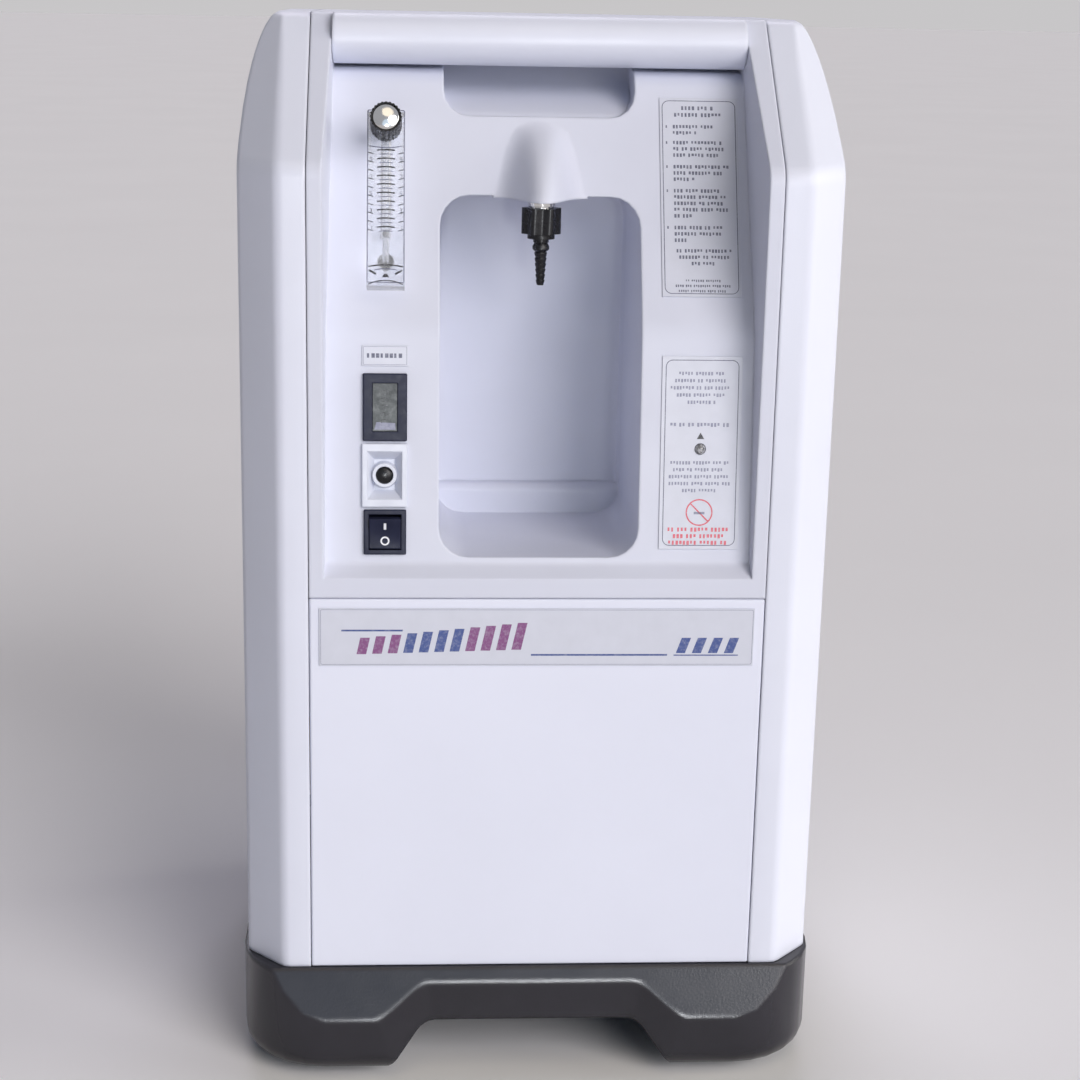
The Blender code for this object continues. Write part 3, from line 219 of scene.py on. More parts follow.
def metal(name, colour, rough, change, brush, depth, edge=0.0008):
    """Metal with a directional finish: brush gives the blotch size along x, y and z."""
    look = Look(name, Metallic=1.0)
    streaks = look.noise(1.0, 5.0, look.stretched(tuple(1.0 / size for size in brush)))
    stain = look.noise(0.03, 5.0)
    tone = look.blend(look.spread(stain, 0.0, 1.0), toned(colour, 1 - change), toned(colour, 1 + change))
    look.drive("Base Color", look.blend(look.spread(streaks, 0.0, 0.5), tone, toned(colour, 0.86)))
    look.drive("Roughness", look.spread(streaks, rough * 0.75, rough * 1.3))
    look.drive("Normal", look.relief(streaks, depth, look.edge(edge)))
    return look.material


def galvanised(name, colour):
    """Zinc plate: crystal spangles that differ in tone and gloss."""
    look = Look(name, Metallic=1.0)
    crystals = look.node("ShaderNodeTexVoronoi", {"Vector": look.where, "Scale": 90.0}).outputs["Color"]
    tone = look.node("ShaderNodeSeparateColor", {"Color": crystals}).outputs[0]
    look.drive("Base Color", look.blend(tone, toned(colour, 0.82), toned(colour, 1.12)))
    look.drive("Roughness", look.spread(tone, 0.28, 0.46, 0.0, 1.0))
    look.drive("Normal", look.relief(look.noise(0.004, 4.0), 0.00003, look.edge(0.0006)))
    return look.material


def cast_acrylic(name):
    """Clear cast block, a little clouded, with faint saw marks."""
    look = Look(name, IOR=1.49, Transmission_Weight=0.72)
    haze = look.noise(0.006, 5.0, look.stretched((1.0, 1.0, 0.3)))
    look.drive("Base Color", look.blend(look.spread(haze, 0.0, 0.6), rgb(0.62, 0.64, 0.68),
                                        rgb(0.84, 0.85, 0.88)))
    look.drive("Roughness", look.spread(haze, 0.03, 0.10))
    look.drive("Normal", look.relief(haze, 0.00001, look.edge(0.0008)))
    return look.material


def display(name):
    """Liquid-crystal window: grey-green field, darker towards its upper edge and lighter towards its lower edge, a
    painted reflection, behind a dull cover.
    """
    look = Look(name, Coat_Weight=0.12, Coat_Roughness=0.04, Specular_IOR_Level=0.2)
    low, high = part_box("hour_meter_window")
    height = look.node("ShaderNodeSeparateXYZ", {"Vector": look.where}).outputs[2]
    # painted reflection: the field is lighter towards its lower edge and darker towards its upper edge
    painted_reflection_fade = look.spread(height, 0.0, 1.0, low.z, high.z)
    field = look.blend(painted_reflection_fade, rgb(0.080, 0.092, 0.094), rgb(0.040, 0.046, 0.048))
    dust = look.spread(look.noise(0.0012, 3.0), 0.0, 0.25)
    look.drive("Base Color", look.blend(dust, field, rgb(0.15, 0.16, 0.165)))
    look.drive("Roughness", look.spread(look.noise(0.004, 4.0), 0.25, 0.40))
    return look.material


def film(name, colour):
    """Printed polyester film: faint mottling and a soft sheen."""
    look = Look(name, Coat_Weight=0.08, Coat_Roughness=0.25, Specular_IOR_Level=0.35)
    mottle = look.noise(0.012, 5.0)
    look.drive("Base Color", look.blend(look.spread(mottle, 0.0, 1.0), toned(colour, 0.975),
                                        toned(colour, 1.02)))
    look.drive("Roughness", look.spread(look.noise(0.005, 4.0), 0.38, 0.5))
    look.drive("Normal", look.relief(look.noise(0.0015, 3.0), 0.00001, look.edge(0.0003)))
    return look.material


def ink(name, colour):
    """Screen-printed ink, thin in places so that the film shows through a little."""
    look = Look(name)
    thin = look.spread(look.noise(0.0016, 4.0), 0.0, 0.28, 0.45, 0.75)
    look.drive("Base Color", look.blend(thin, colour, rgb(0.62, 0.64, 0.72)))
    look.drive("Roughness", look.spread(look.noise(0.003), 0.42, 0.58))
    return look.material


def lens(name, colour):
    """Water-clear lamp lens over a pale reflector, with fine moulding flow lines."""
    look = Look(name, Coat_Weight=1.0, Coat_Roughness=0.03, Transmission_Weight=0.25)
    flow = look.noise(0.0022, 3.0)
    look.drive("Base Color", look.blend(look.spread(flow, 0.0, 1.0, 0.42, 0.58), toned(colour, 0.30),
                                        toned(colour, 1.1)))
    look.drive("Roughness", look.spread(flow, 0.08, 0.20))
    look.drive("Normal", look.relief(flow, 0.0002, look.edge(0.0008)))
    return look.material


def open_foam(name, colour):
    look = Look(name)
    pores = look.cells(0.0016)
    # darker in the middle of each pore: painted shade inside the pores
    look.drive("Base Color", look.blend(look.spread(pores, 0.0, 1.0, 0.1, 0.6), toned(colour, 0.35),
                                        toned(colour, 1.6)))
    look.drive("Roughness", look.spread(look.noise(0.01), 0.9, 1.0))
    look.drive("Normal", look.relief(pores, 0.0010, look.edge(0.002)))
    return look.material


def board(name, colour):
    """Solder mask over copper tracks."""
    look = Look(name, Coat_Weight=0.3)
    tracks = look.node("ShaderNodeTexBrick", {
        "Vector": look.where, "Scale": 60.0, "Mortar Size": 0.12,
        "Color1": toned(colour, 1.0), "Color2": toned(colour, 1.4), "Mortar": toned(colour, 2.2),
    }).outputs["Color"]
    look.drive("Base Color", look.blend(look.spread(look.noise(0.01), 0.0, 0.5), tracks, colour))
    look.drive("Roughness", look.spread(look.noise(0.006), 0.3, 0.5))
    look.drive("Normal", look.relief(look.noise(0.002), 0.00005, look.edge(0.0005)))
    return look.material


CABINET = rgb(0.735, 0.760, 0.870)
FRONT = rgb(0.760, 0.785, 0.905)


def finishes():
    """Material of each slot in the record, and of the inks."""
    return {
        "cabinet": moulded("cabinet", CABINET, 0.40, 0.0007, 0.00003, 0.0030, 1.04, 0.11, 0.02),
        "cabinet_panel": moulded("cabinet_panel", FRONT, 0.42, 0.0005, 0.00002, 0.0015, 1.04, 0.15, 0.015),
        # control panel: the front colour toned down to 0.88, partly its own tone and partly painted shade on the
        # leaning panel and in its recesses; its edge factor of 1.20 paints a highlight along the rims
        "control_panel": moulded("control_panel", toned(FRONT, 0.88), 0.44, 0.0005, 0.00002, 0.0022, 1.20,
                                 0.12, 0.02, Specular_IOR_Level=0.35),
        "base_plastic": leather("base_plastic", rgb(0.017, 0.016, 0.022)),
        "black_plastic": moulded("black_plastic", rgb(0.009, 0.009, 0.011), 0.28, 0.0004, 0.00002,
                                 0.0006, 2.0, 0.01, 0.25, Specular_IOR_Level=0.32),
        "navy_plastic": moulded("navy_plastic", rgb(0.018, 0.021, 0.046), 0.34, 0.0004, 0.00002,
                                0.0008, 1.7, 0.012, 0.15, Specular_IOR_Level=0.12),
        "bezel_plastic": moulded("bezel_plastic", rgb(0.64, 0.67, 0.77), 0.36, 0.0004, 0.00001,
                                 0.0008, 1.06, 0.02, 0.03),
        "acrylic": cast_acrylic("acrylic"),
        "lcd": display("lcd"),
        "chrome": metal("chrome", rgb(0.74, 0.73, 0.71), 0.12, 0.05, (0.01, 0.01, 0.01), 0.000005, 0.0004),
        "steel": galvanised("steel", rgb(0.58, 0.59, 0.61)),
        "aluminium": metal("aluminium", rgb(0.66, 0.67, 0.69), 0.36, 0.08, (0.02, 0.002, 0.002), 0.00003),
        "copper": metal("copper", rgb(0.72, 0.38, 0.24), 0.30, 0.25, (0.003, 0.01, 0.01), 0.00002),
        "label": film("label", rgb(0.64, 0.66, 0.75)),
        "rubber": moulded("rubber", rgb(0.022, 0.022, 0.024), 0.78, 0.0006, 0.00004, 0.001, 2.5, 0.02, 0.3),
        "foam": open_foam("foam", rgb(0.05, 0.05, 0.055)),
        "hose": moulded("hose", rgb(0.72, 0.74, 0.76), 0.3, 0.0005, 0.00001, 0.0005, 1.05, 0.01, 0.06,
                        Transmission_Weight=0.4),
        "circuit": board("circuit", rgb(0.02, 0.13, 0.05)),
        "lens": lens("lens", rgb(0.62, 0.63, 0.66)),
        "rating": film("rating", rgb(0.62, 0.63, 0.65)),
        "grey_ink": ink("grey_ink", rgb(0.105, 0.112, 0.175)),
        "pale_ink": ink("pale_ink", rgb(0.255, 0.265, 0.370)),
        "display_ink": ink("display_ink", rgb(0.030, 0.034, 0.036)),
        "black_ink": ink("black_ink", rgb(0.012, 0.012, 0.016)),
        "blue_ink": ink("blue_ink", rgb(0.040, 0.075, 0.270)),
        "violet_ink": ink("violet_ink", rgb(0.220, 0.060, 0.210)),
        "red_ink": ink("red_ink", rgb(0.720, 0.110, 0.150)),
        "white_ink": ink("white_ink", rgb(0.82, 0.83, 0.87)),
    }


LOOKS = finishes()


def dress_nodes():
    slots = {row["node"]: row["material_slot"] for row in frame["record"]["subparts"]}
    for name, node in NODES.items():
        soften(node)
        node.material_slots[0].material = LOOKS[slots[name]]
    NODES["status_light"].material_slots[0].material = LOOKS["lens"]
    NODES["control_panel"].material_slots[0].material = LOOKS["control_panel"]
    NODES["flowmeter_body"].visible_shadow = False


# ---------------------------------------------------------------- pieces
def piece(name, builder, inks, body, smooth=False):
    """A finished mesh in the row frame, with its materials, riding on a CAD body."""
    mesh = bpy.data.meshes.new(name)
    builder.to_mesh(mesh)
    builder.free()
    for key in inks:
        mesh.materials.append(LOOKS[key])
    if smooth:
        mesh.shade_smooth()
        mesh.set_sharp_from_angle(angle=math.radians(SMOOTH_ANGLE))
    thing = bpy.data.objects.new(name, mesh)
    bpy.context.scene.collection.objects.link(thing)
    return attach(thing, body)


def face_frame(node, lift=0.0):
    """Frame on a node's front face: x to the right, y up along the face, z out of it."""
    mesh = NODES[node].data
    front = max((polygon for polygon in mesh.polygons if polygon.normal.y < -0.5),
                key=lambda polygon: polygon.area)
    return plane_frame(node, front.normal, lift)


def axes_frame(across, up, out, origin):
    """Matrix whose columns are three unit axes and an origin."""
    return Matrix((
        (across[0], up[0], out[0], origin[0]), (across[1], up[1], out[1], origin[1]),
        (across[2], up[2], out[2], origin[2]), (0, 0, 0, 1),
    ))


def plane_frame(node, out, lift=0.0):
    """Frame on the outermost plane of a node towards out, centred on the node."""
    out = Vector(out).normalized()
    across = Vector((1, 0, 0)) if abs(out.x) < 0.9 else Vector((0, 1, 0))
    up = out.cross(across).normalized()
    if up.z < 0 or (abs(up.z) < 0.1 and up.y < 0):
        up = -up
    across = up.cross(out)
    points = [vertex.co for vertex in NODES[node].data.vertices]
    centre = [(min(point @ axis for point in points) + max(point @ axis for point in points)) / 2
              for axis in (across, up)]
    high = max(point @ out for point in points) + lift
    return axes_frame(across, up, out, across * centre[0] + up * centre[1] + out * high)


SEGMENTS = {0: "abcdef", 1: "bc", 2: "abged", 3: "abgcd", 4: "fgbc", 5: "afgcd", 6: "afgedc",
            7: "abc", 8: "abcdefg", 9: "abcdfg"}


class Artwork:
    """Flat printed shapes in one plane: a to the right and b up, in metres from its centre."""

    def __init__(self, plane, inks):
        self.plane = plane
        self.inks = inks
        self.builder = bmesh.new()

    def polygon(self, points, ink):
        corners = [self.builder.verts.new(self.plane @ Vector((a, b, 0))) for a, b in points]
        face = self.builder.faces.new(corners)
        face.material_index = self.inks.index(ink)
        if face.calc_area() > 0:
            face.normal_update()
        if face.normal @ self.plane.col[2].to_3d() < 0:
            face.normal_flip()

    def bar(self, left, low, right, high, ink, slant=0.0):
        lean = (high - low) * slant
        self.polygon([(left, low), (right, low), (right + lean, high), (left + lean, high)], ink)

    def stroke(self, start, end, width, ink):
        start, end = Vector(start), Vector(end)
        side = (end - start).orthogonal().normalized() * width / 2
        self.polygon([start - side, end - side, end + side, start + side], ink)

    def arch(self, b, reach, sag, width, ink, steps=4):
        """Shallow bow across the middle, whose ends hang sag below its crown at b."""
        points = [(step / steps * reach, b - sag * (step / steps) ** 2)
                  for step in range(-steps, steps + 1)]
        for first, last in zip(points, points[1:]):
            self.stroke(first, last, width, ink)

    def band(self, outer, inner, ink):
        """Closed band between two outlines with the same number of points."""
        count = len(outer)
        for index in range(count):
            after = (index + 1) % count
            self.polygon([outer[index], outer[after], inner[after], inner[index]], ink)

    def ring(self, centre, radius, width, ink, steps=40):
        angles = [math.tau * step / steps for step in range(steps)]
        outer, inner = [[(centre[0] + size * math.cos(angle), centre[1] + size * math.sin(angle))
                         for angle in angles] for size in (radius, radius - width)]
        self.band(outer, inner, ink)

    def border(self, half_a, half_b, radius, width, ink):
        def outline(inset):
            points = []
            for index, (a, b) in enumerate(((1, 1), (-1, 1), (-1, -1), (1, -1))):
                middle = (a * (half_a - radius), b * (half_b - radius))
                for step in range(7):
                    angle = math.radians(90 * index + 15 * step)
                    points.append((middle[0] + (radius - inset) * math.cos(angle),
                                   middle[1] + (radius - inset) * math.sin(angle)))
            return points
        self.band(outline(0.0), outline(width), ink)

    def line_of_words(self, dice, left, right, b, height, ink, centred, share):
        """A row of small blocks in word-like groups that stands for a line of small print."""
        stem, gap, room = height * 0.62, height * 0.26, (right - left) * share
        a = (left + right - room) / 2 if centred else left
        end, letters = a + room, dice.randint(2, 8)
        while a + stem <= end:
            trim = dice.choice((0.0, 0.0, 0.16, 0.30)) * height
            self.bar(a, b - height / 2 + trim, a + stem * dice.uniform(0.7, 1.0), b + height / 2, ink)
            a += stem + gap
            letters -= 1
            if letters == 0:
                letters = dice.randint(2, 8)
                a += stem * 0.9

    def digit(self, value, a, b, size, ink, turned=False):
        """Seven-segment figure size high, centred on a and b."""
        half, thick = size / 2, size * 0.13
        wide = half * 0.56
        ends = {"a": ((-wide, half), (wide, half)), "g": ((-wide, 0), (wide, 0)),
                "d": ((-wide, -half), (wide, -half)), "f": ((-wide, half), (-wide, 0)),
                "e": ((-wide, 0), (-wide, -half)), "b": ((wide, half), (wide, 0)),
                "c": ((wide, 0), (wide, -half))}
        for segment in SEGMENTS[value]:
            start, end = (Vector(point) * 0.94 for point in ends[segment])
            if turned:
                start, end = start.orthogonal(), end.orthogonal()
            self.stroke(start + Vector((a, b)), end + Vector((a, b)), thick, ink)

    def finish(self, name, body="cabinet"):
        return piece(name, self.builder, self.inks, body)


def half_size(node, plane):
    """Half width and half height of a node in a plane's own axes."""
    back = plane.inverted()
    points = [back @ vertex.co for vertex in NODES[node].data.vertices]
    return max(point.x for point in points), max(point.y for point in points)


def small_print(art, dice, half_a, half_b, block, pitch, height, ink_name):
    """Lines from the block's top, given as a share of the label's height, each as long as its share."""
    top, centred, margin, lengths = block
    for line, length in enumerate(lengths):
        b = half_b * (1 - 2 * top) - pitch * line
        art.line_of_words(dice, -half_a + margin, half_a - 0.005, b, height, ink_name, centred, length)


def instruction_art():
    plane = face_frame("instruction_label", FILM)
    half_a, half_b = half_size("instruction_label", plane)
    art = Artwork(plane, ["grey_ink"])
    dice = random.Random(7)
    art.border(half_a - 0.0015, half_b - 0.0018, 0.0045, 0.0005, "grey_ink")
    small_print(art, dice, half_a, half_b, (0.052, True, 0.005, (0.55, 0.78)), 0.0046, 0.0026, "grey_ink")
    steps = ((0.147, (0.72, 0.42)), (0.228, (0.88, 0.92, 0.80)), (0.350, (0.96, 0.88, 0.38)),
             (0.471, (0.84, 0.94, 0.88, 0.97, 0.38)), (0.656, (0.88, 0.84, 0.22)))
    for top, lengths in steps:
        b = half_b * (1 - 2 * top)
        art.bar(-half_a + 0.0038, b - 0.0009, -half_a + 0.0047, b + 0.0009, "grey_ink")
        small_print(art, dice, half_a, half_b, (top, False, 0.0085, lengths), 0.0042, 0.0024, "grey_ink")
    small_print(art, dice, half_a, half_b, (0.772, True, 0.009, (0.97, 0.88, 0.45)), 0.0042, 0.0023,
                "grey_ink")
    small_print(art, dice, half_a, half_b, (0.921, True, 0.007, (0.58, 0.92, 0.82)), 0.0034, 0.0016,
                "grey_ink")
    art.finish("instruction_print")


def alarm_art():
    plane = face_frame("alarm_label", FILM)
    half_a, half_b = half_size("alarm_label", plane)
    art = Artwork(plane, ["grey_ink", "black_ink", "red_ink", "pale_ink"])
    dice = random.Random(11)
    art.border(half_a - 0.0022, half_b - 0.0022, 0.0045, 0.0005, "grey_ink")
    small_print(art, dice, half_a, half_b, (0.088, True, 0.005, (0.72, 0.84, 0.97, 0.78, 0.44)), 0.0046,
                0.0022, "pale_ink")
    small_print(art, dice, half_a, half_b, (0.352, True, 0.005, (0.96,)), 0.0046, 0.0025, "pale_ink")
    small_print(art, dice, half_a, half_b, (0.549, True, 0.005, (0.93, 0.84, 0.97, 0.97, 0.55)), 0.0045,
                0.0022, "pale_ink")
    low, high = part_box("status_light")
    light = plane.inverted() @ ((low + high) / 2)
    art.polygon([(light.x - 0.0024, light.y + 0.0066), (light.x + 0.0024, light.y + 0.0066),
                 (light.x, light.y + 0.0108)], "black_ink")
    sign = (0.0, -half_b * 0.615)
    art.ring(sign, 0.0088, 0.0009, "red_ink")
    reach = 0.0081 * math.sqrt(0.5)
    art.stroke((sign[0] - reach, sign[1] + reach), (sign[0] + reach, sign[1] - reach), 0.0009, "red_ink")
    art.bar(-0.0035, sign[1] - 0.0012, 0.0035, sign[1] + 0.0004, "pale_ink")
    for row, share in enumerate((0.97, 0.80, 0.94)):
        b = -half_b * 0.795 - 0.0043 * row
        art.line_of_words(dice, -half_a + 0.005, half_a - 0.005, b, 0.0027, "red_ink", True, share)
    art.finish("alarm_print")


def serial_art():
    plane = face_frame("serial_label", FILM)
    half_a, half_b = half_size("serial_label", plane)
    art = Artwork(plane, ["grey_ink", "pale_ink"])
    art.border(half_a - 0.0007, half_b - 0.0007, 0.0004, 0.00025, "pale_ink")
    cells = 8
    step = 2 * (half_a - 0.003) / cells
    for index in range(cells):
        a = -half_a + 0.003 + step * index
        art.bar(a, -0.0014, a + step * (0.75 if index % 3 else 0.5), 0.0014, "grey_ink")
    art.finish("serial_print")


def name_plate_art():
    """Blue rule, a group of slanted stripes that grow to the right, and a smaller pair at the far end."""
    plane = face_frame("name_plate", FILM)
    half_a, half_b = half_size("name_plate", plane)
    art = Artwork(plane, ["pale_ink", "blue_ink", "violet_ink"])
    art.border(half_a - 0.0008, half_b - 0.0008, 0.0012, 0.0003, "pale_ink")
    rule = -half_b * 0.62
    art.bar(-half_a * 0.03, rule - 0.0006, half_a * 0.60, rule + 0.0006, "blue_ink")
    art.bar(-half_a * 0.90, half_b * 0.20, -half_a * 0.62, half_b * 0.26, "blue_ink", 0.25)
    stripes, left = 11, -half_a * 0.83
    for index in range(stripes):
        share = index / (stripes - 1)
        a = left + 0.0100 * index
        top = half_b * (-0.02 + 0.52 * share)
        ink_name = "violet_ink" if index < 3 or index > 6 else "blue_ink"
        art.bar(a, rule + 0.0005 + 0.003 * share, a + 0.0062, top, ink_name, 0.22)
    for index in range(4):
        a = half_a * 0.64 + 0.0105 * index
        art.bar(a, rule + 0.0012, a + 0.0060, -half_b * 0.02, "blue_ink", 0.35)
    art.bar(half_a * 0.63, rule - 0.0006, half_a * 0.93, rule + 0.0002, "blue_ink")
    art.finish("name_plate_print")


def flowmeter_scale():
    """Graduations on the acrylic block: bold rings over the bore, side ticks and marks between them, and painted
    dark refraction marks where the inlet and the collar under the knob show through.
    """
    plane = face_frame("flowmeter_body", FILM)
    half_a, half_b = half_size("flowmeter_body", plane)
    knob = plane.inverted() @ Vector(JOINTS["knob_turn"]["pos_m"])
    art = Artwork(plane, ["black_ink", "grey_ink"])
    low, pitch, units = knob.y - 0.0680, 0.0056, 10
    tick_rise, tick_width, figure_rise, figure_size = 0.0009, 0.00060, 0.0021, 0.0023
    art.border(half_a - 0.0002, half_b - 0.0002, 0.0010, 0.0006, "grey_ink")
    for unit in range(units):
        b = low + pitch * unit
        art.arch(b + pitch / 2, 0.0056, 0.0005, 0.00095, "black_ink")
        art.arch(b, 0.0044, 0.0004, 0.00050, "grey_ink")
        for side in (-1, 1):
            start, end = (side * half_a * 0.66, b), (side * half_a * 0.93, b + tick_rise)
            art.stroke(start, end, tick_width, "black_ink")
            if unit % 2 == 0:
                art.digit(unit + 1, side * half_a * 0.79, b + figure_rise, figure_size, "black_ink")
    # painted refraction: dark rings and a seat where the inlet shows through below the scale, and the collar under
    # the knob
    art.arch(low - 0.0220, half_a * 0.90, 0.0012, 0.00090, "black_ink")
    art.arch(low - 0.0245, half_a * 0.62, 0.0010, 0.00060, "grey_ink")
    art.arch(low - 0.0320, half_a * 0.90, 0.0026, 0.00070, "black_ink")
    art.arch(knob.y - 0.0135, half_a * 0.88, -0.0012, 0.00060, "grey_ink")
    for side in (-1, 1):
        start, end = (side * half_a * 0.86, low - 0.0255), (side * half_a * 0.50, low - 0.0280)
        art.stroke(start, end, 0.0013, "black_ink")
    seat_foot, seat_top, foot_half, top_half = low - 0.0300, low - 0.0278, 0.0022, 0.0008
    art.polygon([(-foot_half, seat_foot), (foot_half, seat_foot), (top_half, seat_top),
                 (-top_half, seat_top)], "black_ink")
    art.finish("flowmeter_scale_print")


def meter_figures():
    """Figures of the hour meter, which is fitted upright and so reads sideways, and a pale patch at the window's
    lower end, a painted reflection.
    """
    plane = face_frame("hour_meter_window", FILM)
    half_a, half_b = half_size("hour_meter_window", plane)
    art = Artwork(plane, ["display_ink", "pale_ink"])
    size, pitch, first = 0.0042, 0.0046, half_b * 0.62
    for index, value in enumerate((0, 0, 4, 2, 7)):
        art.digit(value, 0.0, first - pitch * index, size, "display_ink", turned=True)
    # pale patch at the lower end of the window: painted reflection
    art.polygon([(-half_a * 0.88, -half_b * 0.94), (half_a * 0.88, -half_b * 0.94),
                 (half_a * 0.86, -half_b * 0.66), (-half_a * 0.70, -half_b * 0.62)], "pale_ink")
    art.finish("hour_meter_print")


def rocker_marks():
    """On and off marks printed on the rocker's upper and lower half."""
    bar_half_width, bar_half_height = 0.0008, 0.0023
    ring_radius, ring_width = 0.0029, 0.0010
    mesh = NODES["switch_rocker"].data
    fronts = [polygon for polygon in mesh.polygons if polygon.normal.y < -0.6]
    for name, end in (("on", max), ("off", min)):
        face = end(fronts, key=lambda polygon: polygon.center.z)
        group = [polygon for polygon in fronts if polygon.normal @ face.normal > 0.999]
        points = [mesh.vertices[index].co for polygon in group for index in polygon.vertices]
        middle = (Vector(map(min, zip(*points))) + Vector(map(max, zip(*points)))) / 2
        out, across = face.normal.copy(), Vector((1, 0, 0))
        up = out.cross(across).normalized()
        plane = axes_frame(across, up, out, middle) @ Matrix.Translation((0, 0, FILM))
        art = Artwork(plane, ["white_ink"])
        if name == "on":
            art.bar(-bar_half_width, -bar_half_height, bar_half_width, bar_half_height, "white_ink")
        else:
            art.ring((0, 0), ring_radius, ring_width, "white_ink")
        art.finish("rocker_mark_" + name, "rocker")


def rating_art():
    """Blank rating plate on the rear: a bordered film with ruled fields and grey bars."""
    below_centre, half_a, half_b = 0.058, 0.045, 0.024
    plane = plane_frame("rear_panel", (0, 1, 0), FILM) @ Matrix.Translation((0, -below_centre, 0))
    art = Artwork(plane, ["rating", "grey_ink", "pale_ink"])
    art.bar(-half_a, -half_b, half_a, half_b, "rating")
    art.plane = plane @ Matrix.Translation((0, 0, FILM))
    art.border(half_a - 0.0012, half_b - 0.0012, 0.0020, 0.0005, "grey_ink")
    dice = random.Random(3)
    rows = 5
    for row in range(rows):
        b = half_b * (0.68 - 0.36 * row)
        art.line_of_words(dice, -half_a + 0.005, -0.006, b, 0.0018, "grey_ink", False, 0.5 + 0.1 * row)
        art.bar(-0.002, b - 0.0022, half_a - 0.005, b - 0.0020, "pale_ink")
        art.line_of_words(dice, 0.000, half_a - 0.006, b, 0.0016, "pale_ink", False, 0.85 - 0.1 * row)
    art.finish("rating_print")


def screw(name, centre, out, turn):
    """Pan-head screw with a cross recess, seated on a face that looks towards out."""
    radius, height, sides = 0.0040, 0.0021, 32
    arm, notch, recess_floor = 0.0022, 0.0008, 0.0004
    cross = [arm if abs((index % 8) - 4) >= 3 else notch for index in range(sides)]
    rings = [([radius * share] * sides, height * level)
             for share, level in ((1.0, 0.0), (1.0, 0.45), (0.86, 0.85), (0.66, 1.0))]
    rings += [(cross, height), ([size * 0.7 for size in cross], recess_floor)]
    frame_of = Vector(out).to_track_quat("Z", "Y").to_matrix().to_4x4() @ Matrix.Rotation(turn, 4, "Z")
    frame_of = Matrix.Translation(centre) @ frame_of
    builder = bmesh.new()
    rows = []
    for sizes, level in rings:
        rows.append([builder.verts.new(frame_of @ Vector((
            size * math.cos(math.tau * index / sides), size * math.sin(math.tau * index / sides), level)))
            for index, size in enumerate(sizes)])
    for lower, upper in zip(rows, rows[1:]):
        for index in range(sides):
            after = (index + 1) % sides
            builder.faces.new((lower[index], lower[after], upper[after], upper[index]))
    builder.faces.new(rows[-1])
    builder.faces.new(reversed(rows[0]))
    bmesh.ops.recalc_face_normals(builder, faces=builder.faces)
    piece(name, builder, ["steel"], "cabinet", smooth=True)


def rear_screws():
    """Four screws down each side of the rear panel, each stopped at its own angle."""
    edge_distance, heights = 0.0085, (0.098, 0.275, 0.455, 0.635)
    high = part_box("rear_panel")[1]
    dice = random.Random(5)
    for side in (-1, 1):
        for row, z in enumerate(heights):
            place = Vector((side * (high.x - edge_distance), high.y + FILM, z))
            name = f"rear_screw_{'left' if side < 0 else 'right'}_{row}"
            screw(name, place, (0, 1, 0), dice.uniform(0, 3))


# ---------------------------------------------------------------- stage
# Each lamp: azimuth from the front towards the right, elevation and apparent width in degrees,
# strength, colour.  The wide ones keep the shadows soft.  The glint lights only what is glossy, and
# draws the highlights along the edges.
LAMPS = {
    "window": (33, 22, 40, 2.16, (1.00, 0.96, 0.96)),
    "side": (85, 10, 40, 1.33, (1.00, 0.97, 0.88)),
    "ceiling": (10, 60, 40, 0.38, (1.00, 0.86, 0.62)),
    "front": (6, 8, 40, 0.22, (0.50, 0.75, 1.00)),
    "glint": (4, 1, 5, 1.30, (0.95, 0.97, 1.00)),
    "rear": (180, 42, 40, 0.82, (0.88, 0.84, 1.00)),
}
GLOSS_ONLY = ("glint",)
AMBIENT = (0.020, 0.026, 0.040, 1.0)     # surroundings as they light matt surfaces
MIRRORED = (0.44, 0.45, 0.49, 1.0)      # surroundings as glossy surfaces show them
HORIZON = (0.575, 0.565, 0.575, 1.0)    # surroundings as the camera sees them
FLOOR_RADIUS = 60.0


def lamp(name, azimuth, elevation, width, strength, colour):
    data = bpy.data.lights.new(name, "SUN")
    data.energy = strength
    data.color = colour
    data.angle = math.radians(width)
    thing = bpy.data.objects.new(name, data)
    turn, rise = math.radians(azimuth), math.radians(elevation)
    towards = Vector((math.sin(turn) * math.cos(rise), -math.cos(turn) * math.cos(rise), math.sin(rise)))
    thing.rotation_euler = towards.to_track_quat("Z", "Y").to_euler()
    thing.visible_diffuse = name not in GLOSS_ONLY
    bpy.context.scene.collection.objects.link(thing)


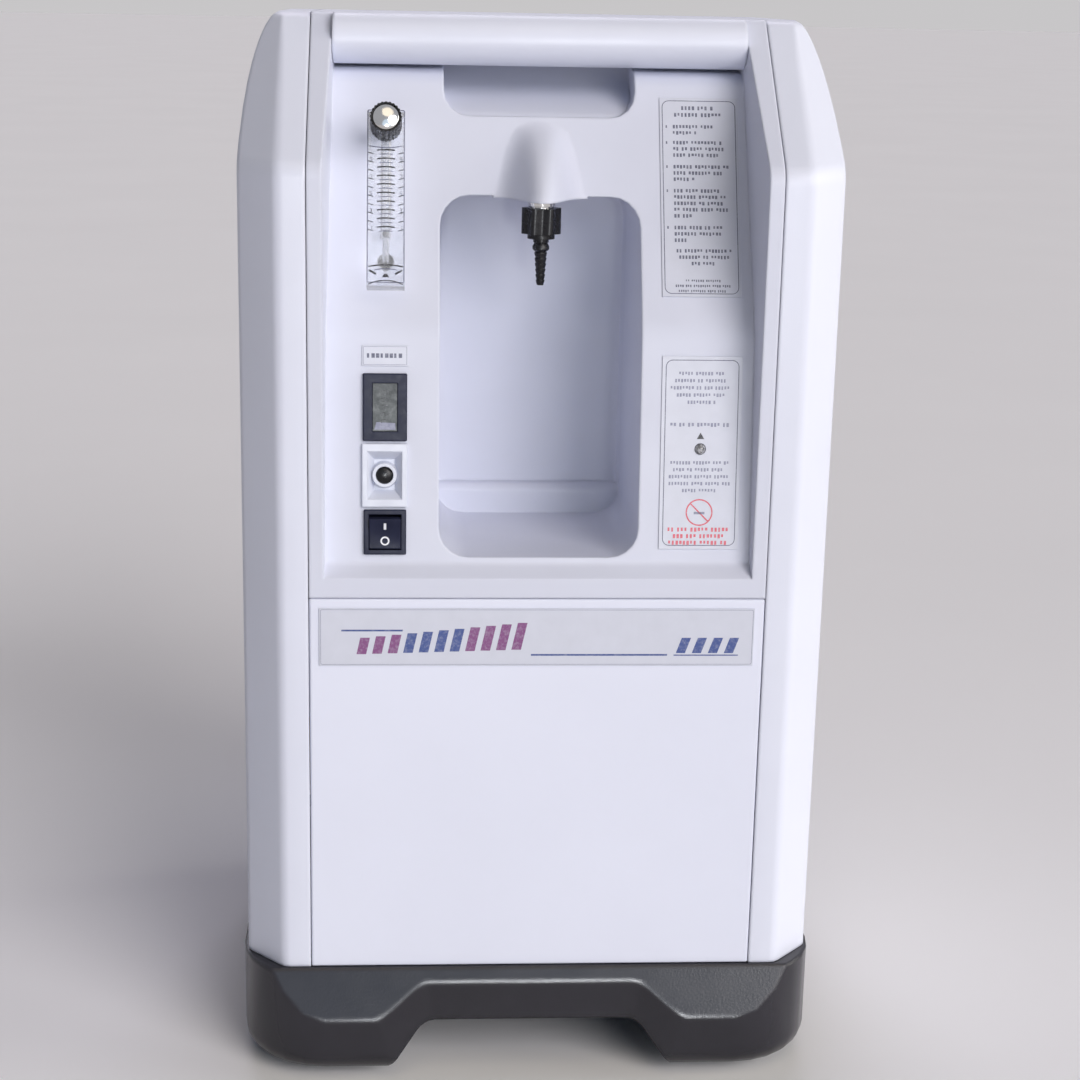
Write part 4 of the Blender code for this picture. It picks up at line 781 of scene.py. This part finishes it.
def surroundings():
    """Dim even light from all round, a middle tone for reflections and a pale backdrop."""
    world = bpy.data.worlds.new("surroundings")
    world.use_nodes = True
    tree = world.node_tree
    path = tree.nodes.new("ShaderNodeLightPath")

    def background(colour):
        made = tree.nodes.new("ShaderNodeBackground")
        made.inputs["Color"].default_value = colour
        return made.outputs[0]

    def choose(ray, without, within):
        mix = tree.nodes.new("ShaderNodeMixShader")
        for index, link in enumerate((path.outputs[ray], without, within)):
            tree.links.new(link, mix.inputs[index])
        return mix.outputs[0]

    seen = choose("Is Glossy Ray", background(HORIZON), background(MIRRORED))
    lit = choose("Is Diffuse Ray", seen, background(AMBIENT))
    tree.links.new(lit, tree.nodes["World Output"].inputs["Surface"])
    bpy.context.scene.world = world
    bpy.context.scene.view_settings.view_transform = "Standard"


def floor():
    look = Look("floor", Specular_IOR_Level=0.04)
    cloud = look.spread(look.noise(0.7, 3.0), 0.0, 1.0)
    look.drive("Base Color", look.blend(cloud, rgb(0.92, 0.92, 0.93), rgb(0.94, 0.94, 0.95)))
    look.drive("Roughness", look.spread(look.noise(0.2, 4.0), 0.80, 0.90))
    mesh = bpy.data.meshes.new("floor")
    builder = bmesh.new()
    bmesh.ops.create_circle(builder, cap_ends=True, segments=96, radius=FLOOR_RADIUS)
    builder.to_mesh(mesh)
    builder.free()
    mesh.materials.append(look.material)
    ground = bpy.data.objects.new("floor", mesh)
    bpy.context.scene.collection.objects.link(ground)


def camera():
    data = bpy.data.cameras.new("camera")
    data.lens = LENS
    data.sensor_width = SENSOR
    data.shift_x, data.shift_y = SHIFT
    view = bpy.data.objects.new("camera", data)
    right, back = Vector(RIGHT), -Vector(LOOK)
    up = back.cross(right)
    view.matrix_world = axes_frame(right, up, back, EYE)
    bpy.context.scene.collection.objects.link(view)
    bpy.context.scene.camera = view


def main():
    camera()
    dress_nodes()
    instruction_art()
    alarm_art()
    serial_art()
    name_plate_art()
    flowmeter_scale()
    meter_figures()
    rocker_marks()
    rating_art()
    rear_screws()
    surroundings()
    floor()
    for name, facts in LAMPS.items():
        lamp(name, *facts)


main()
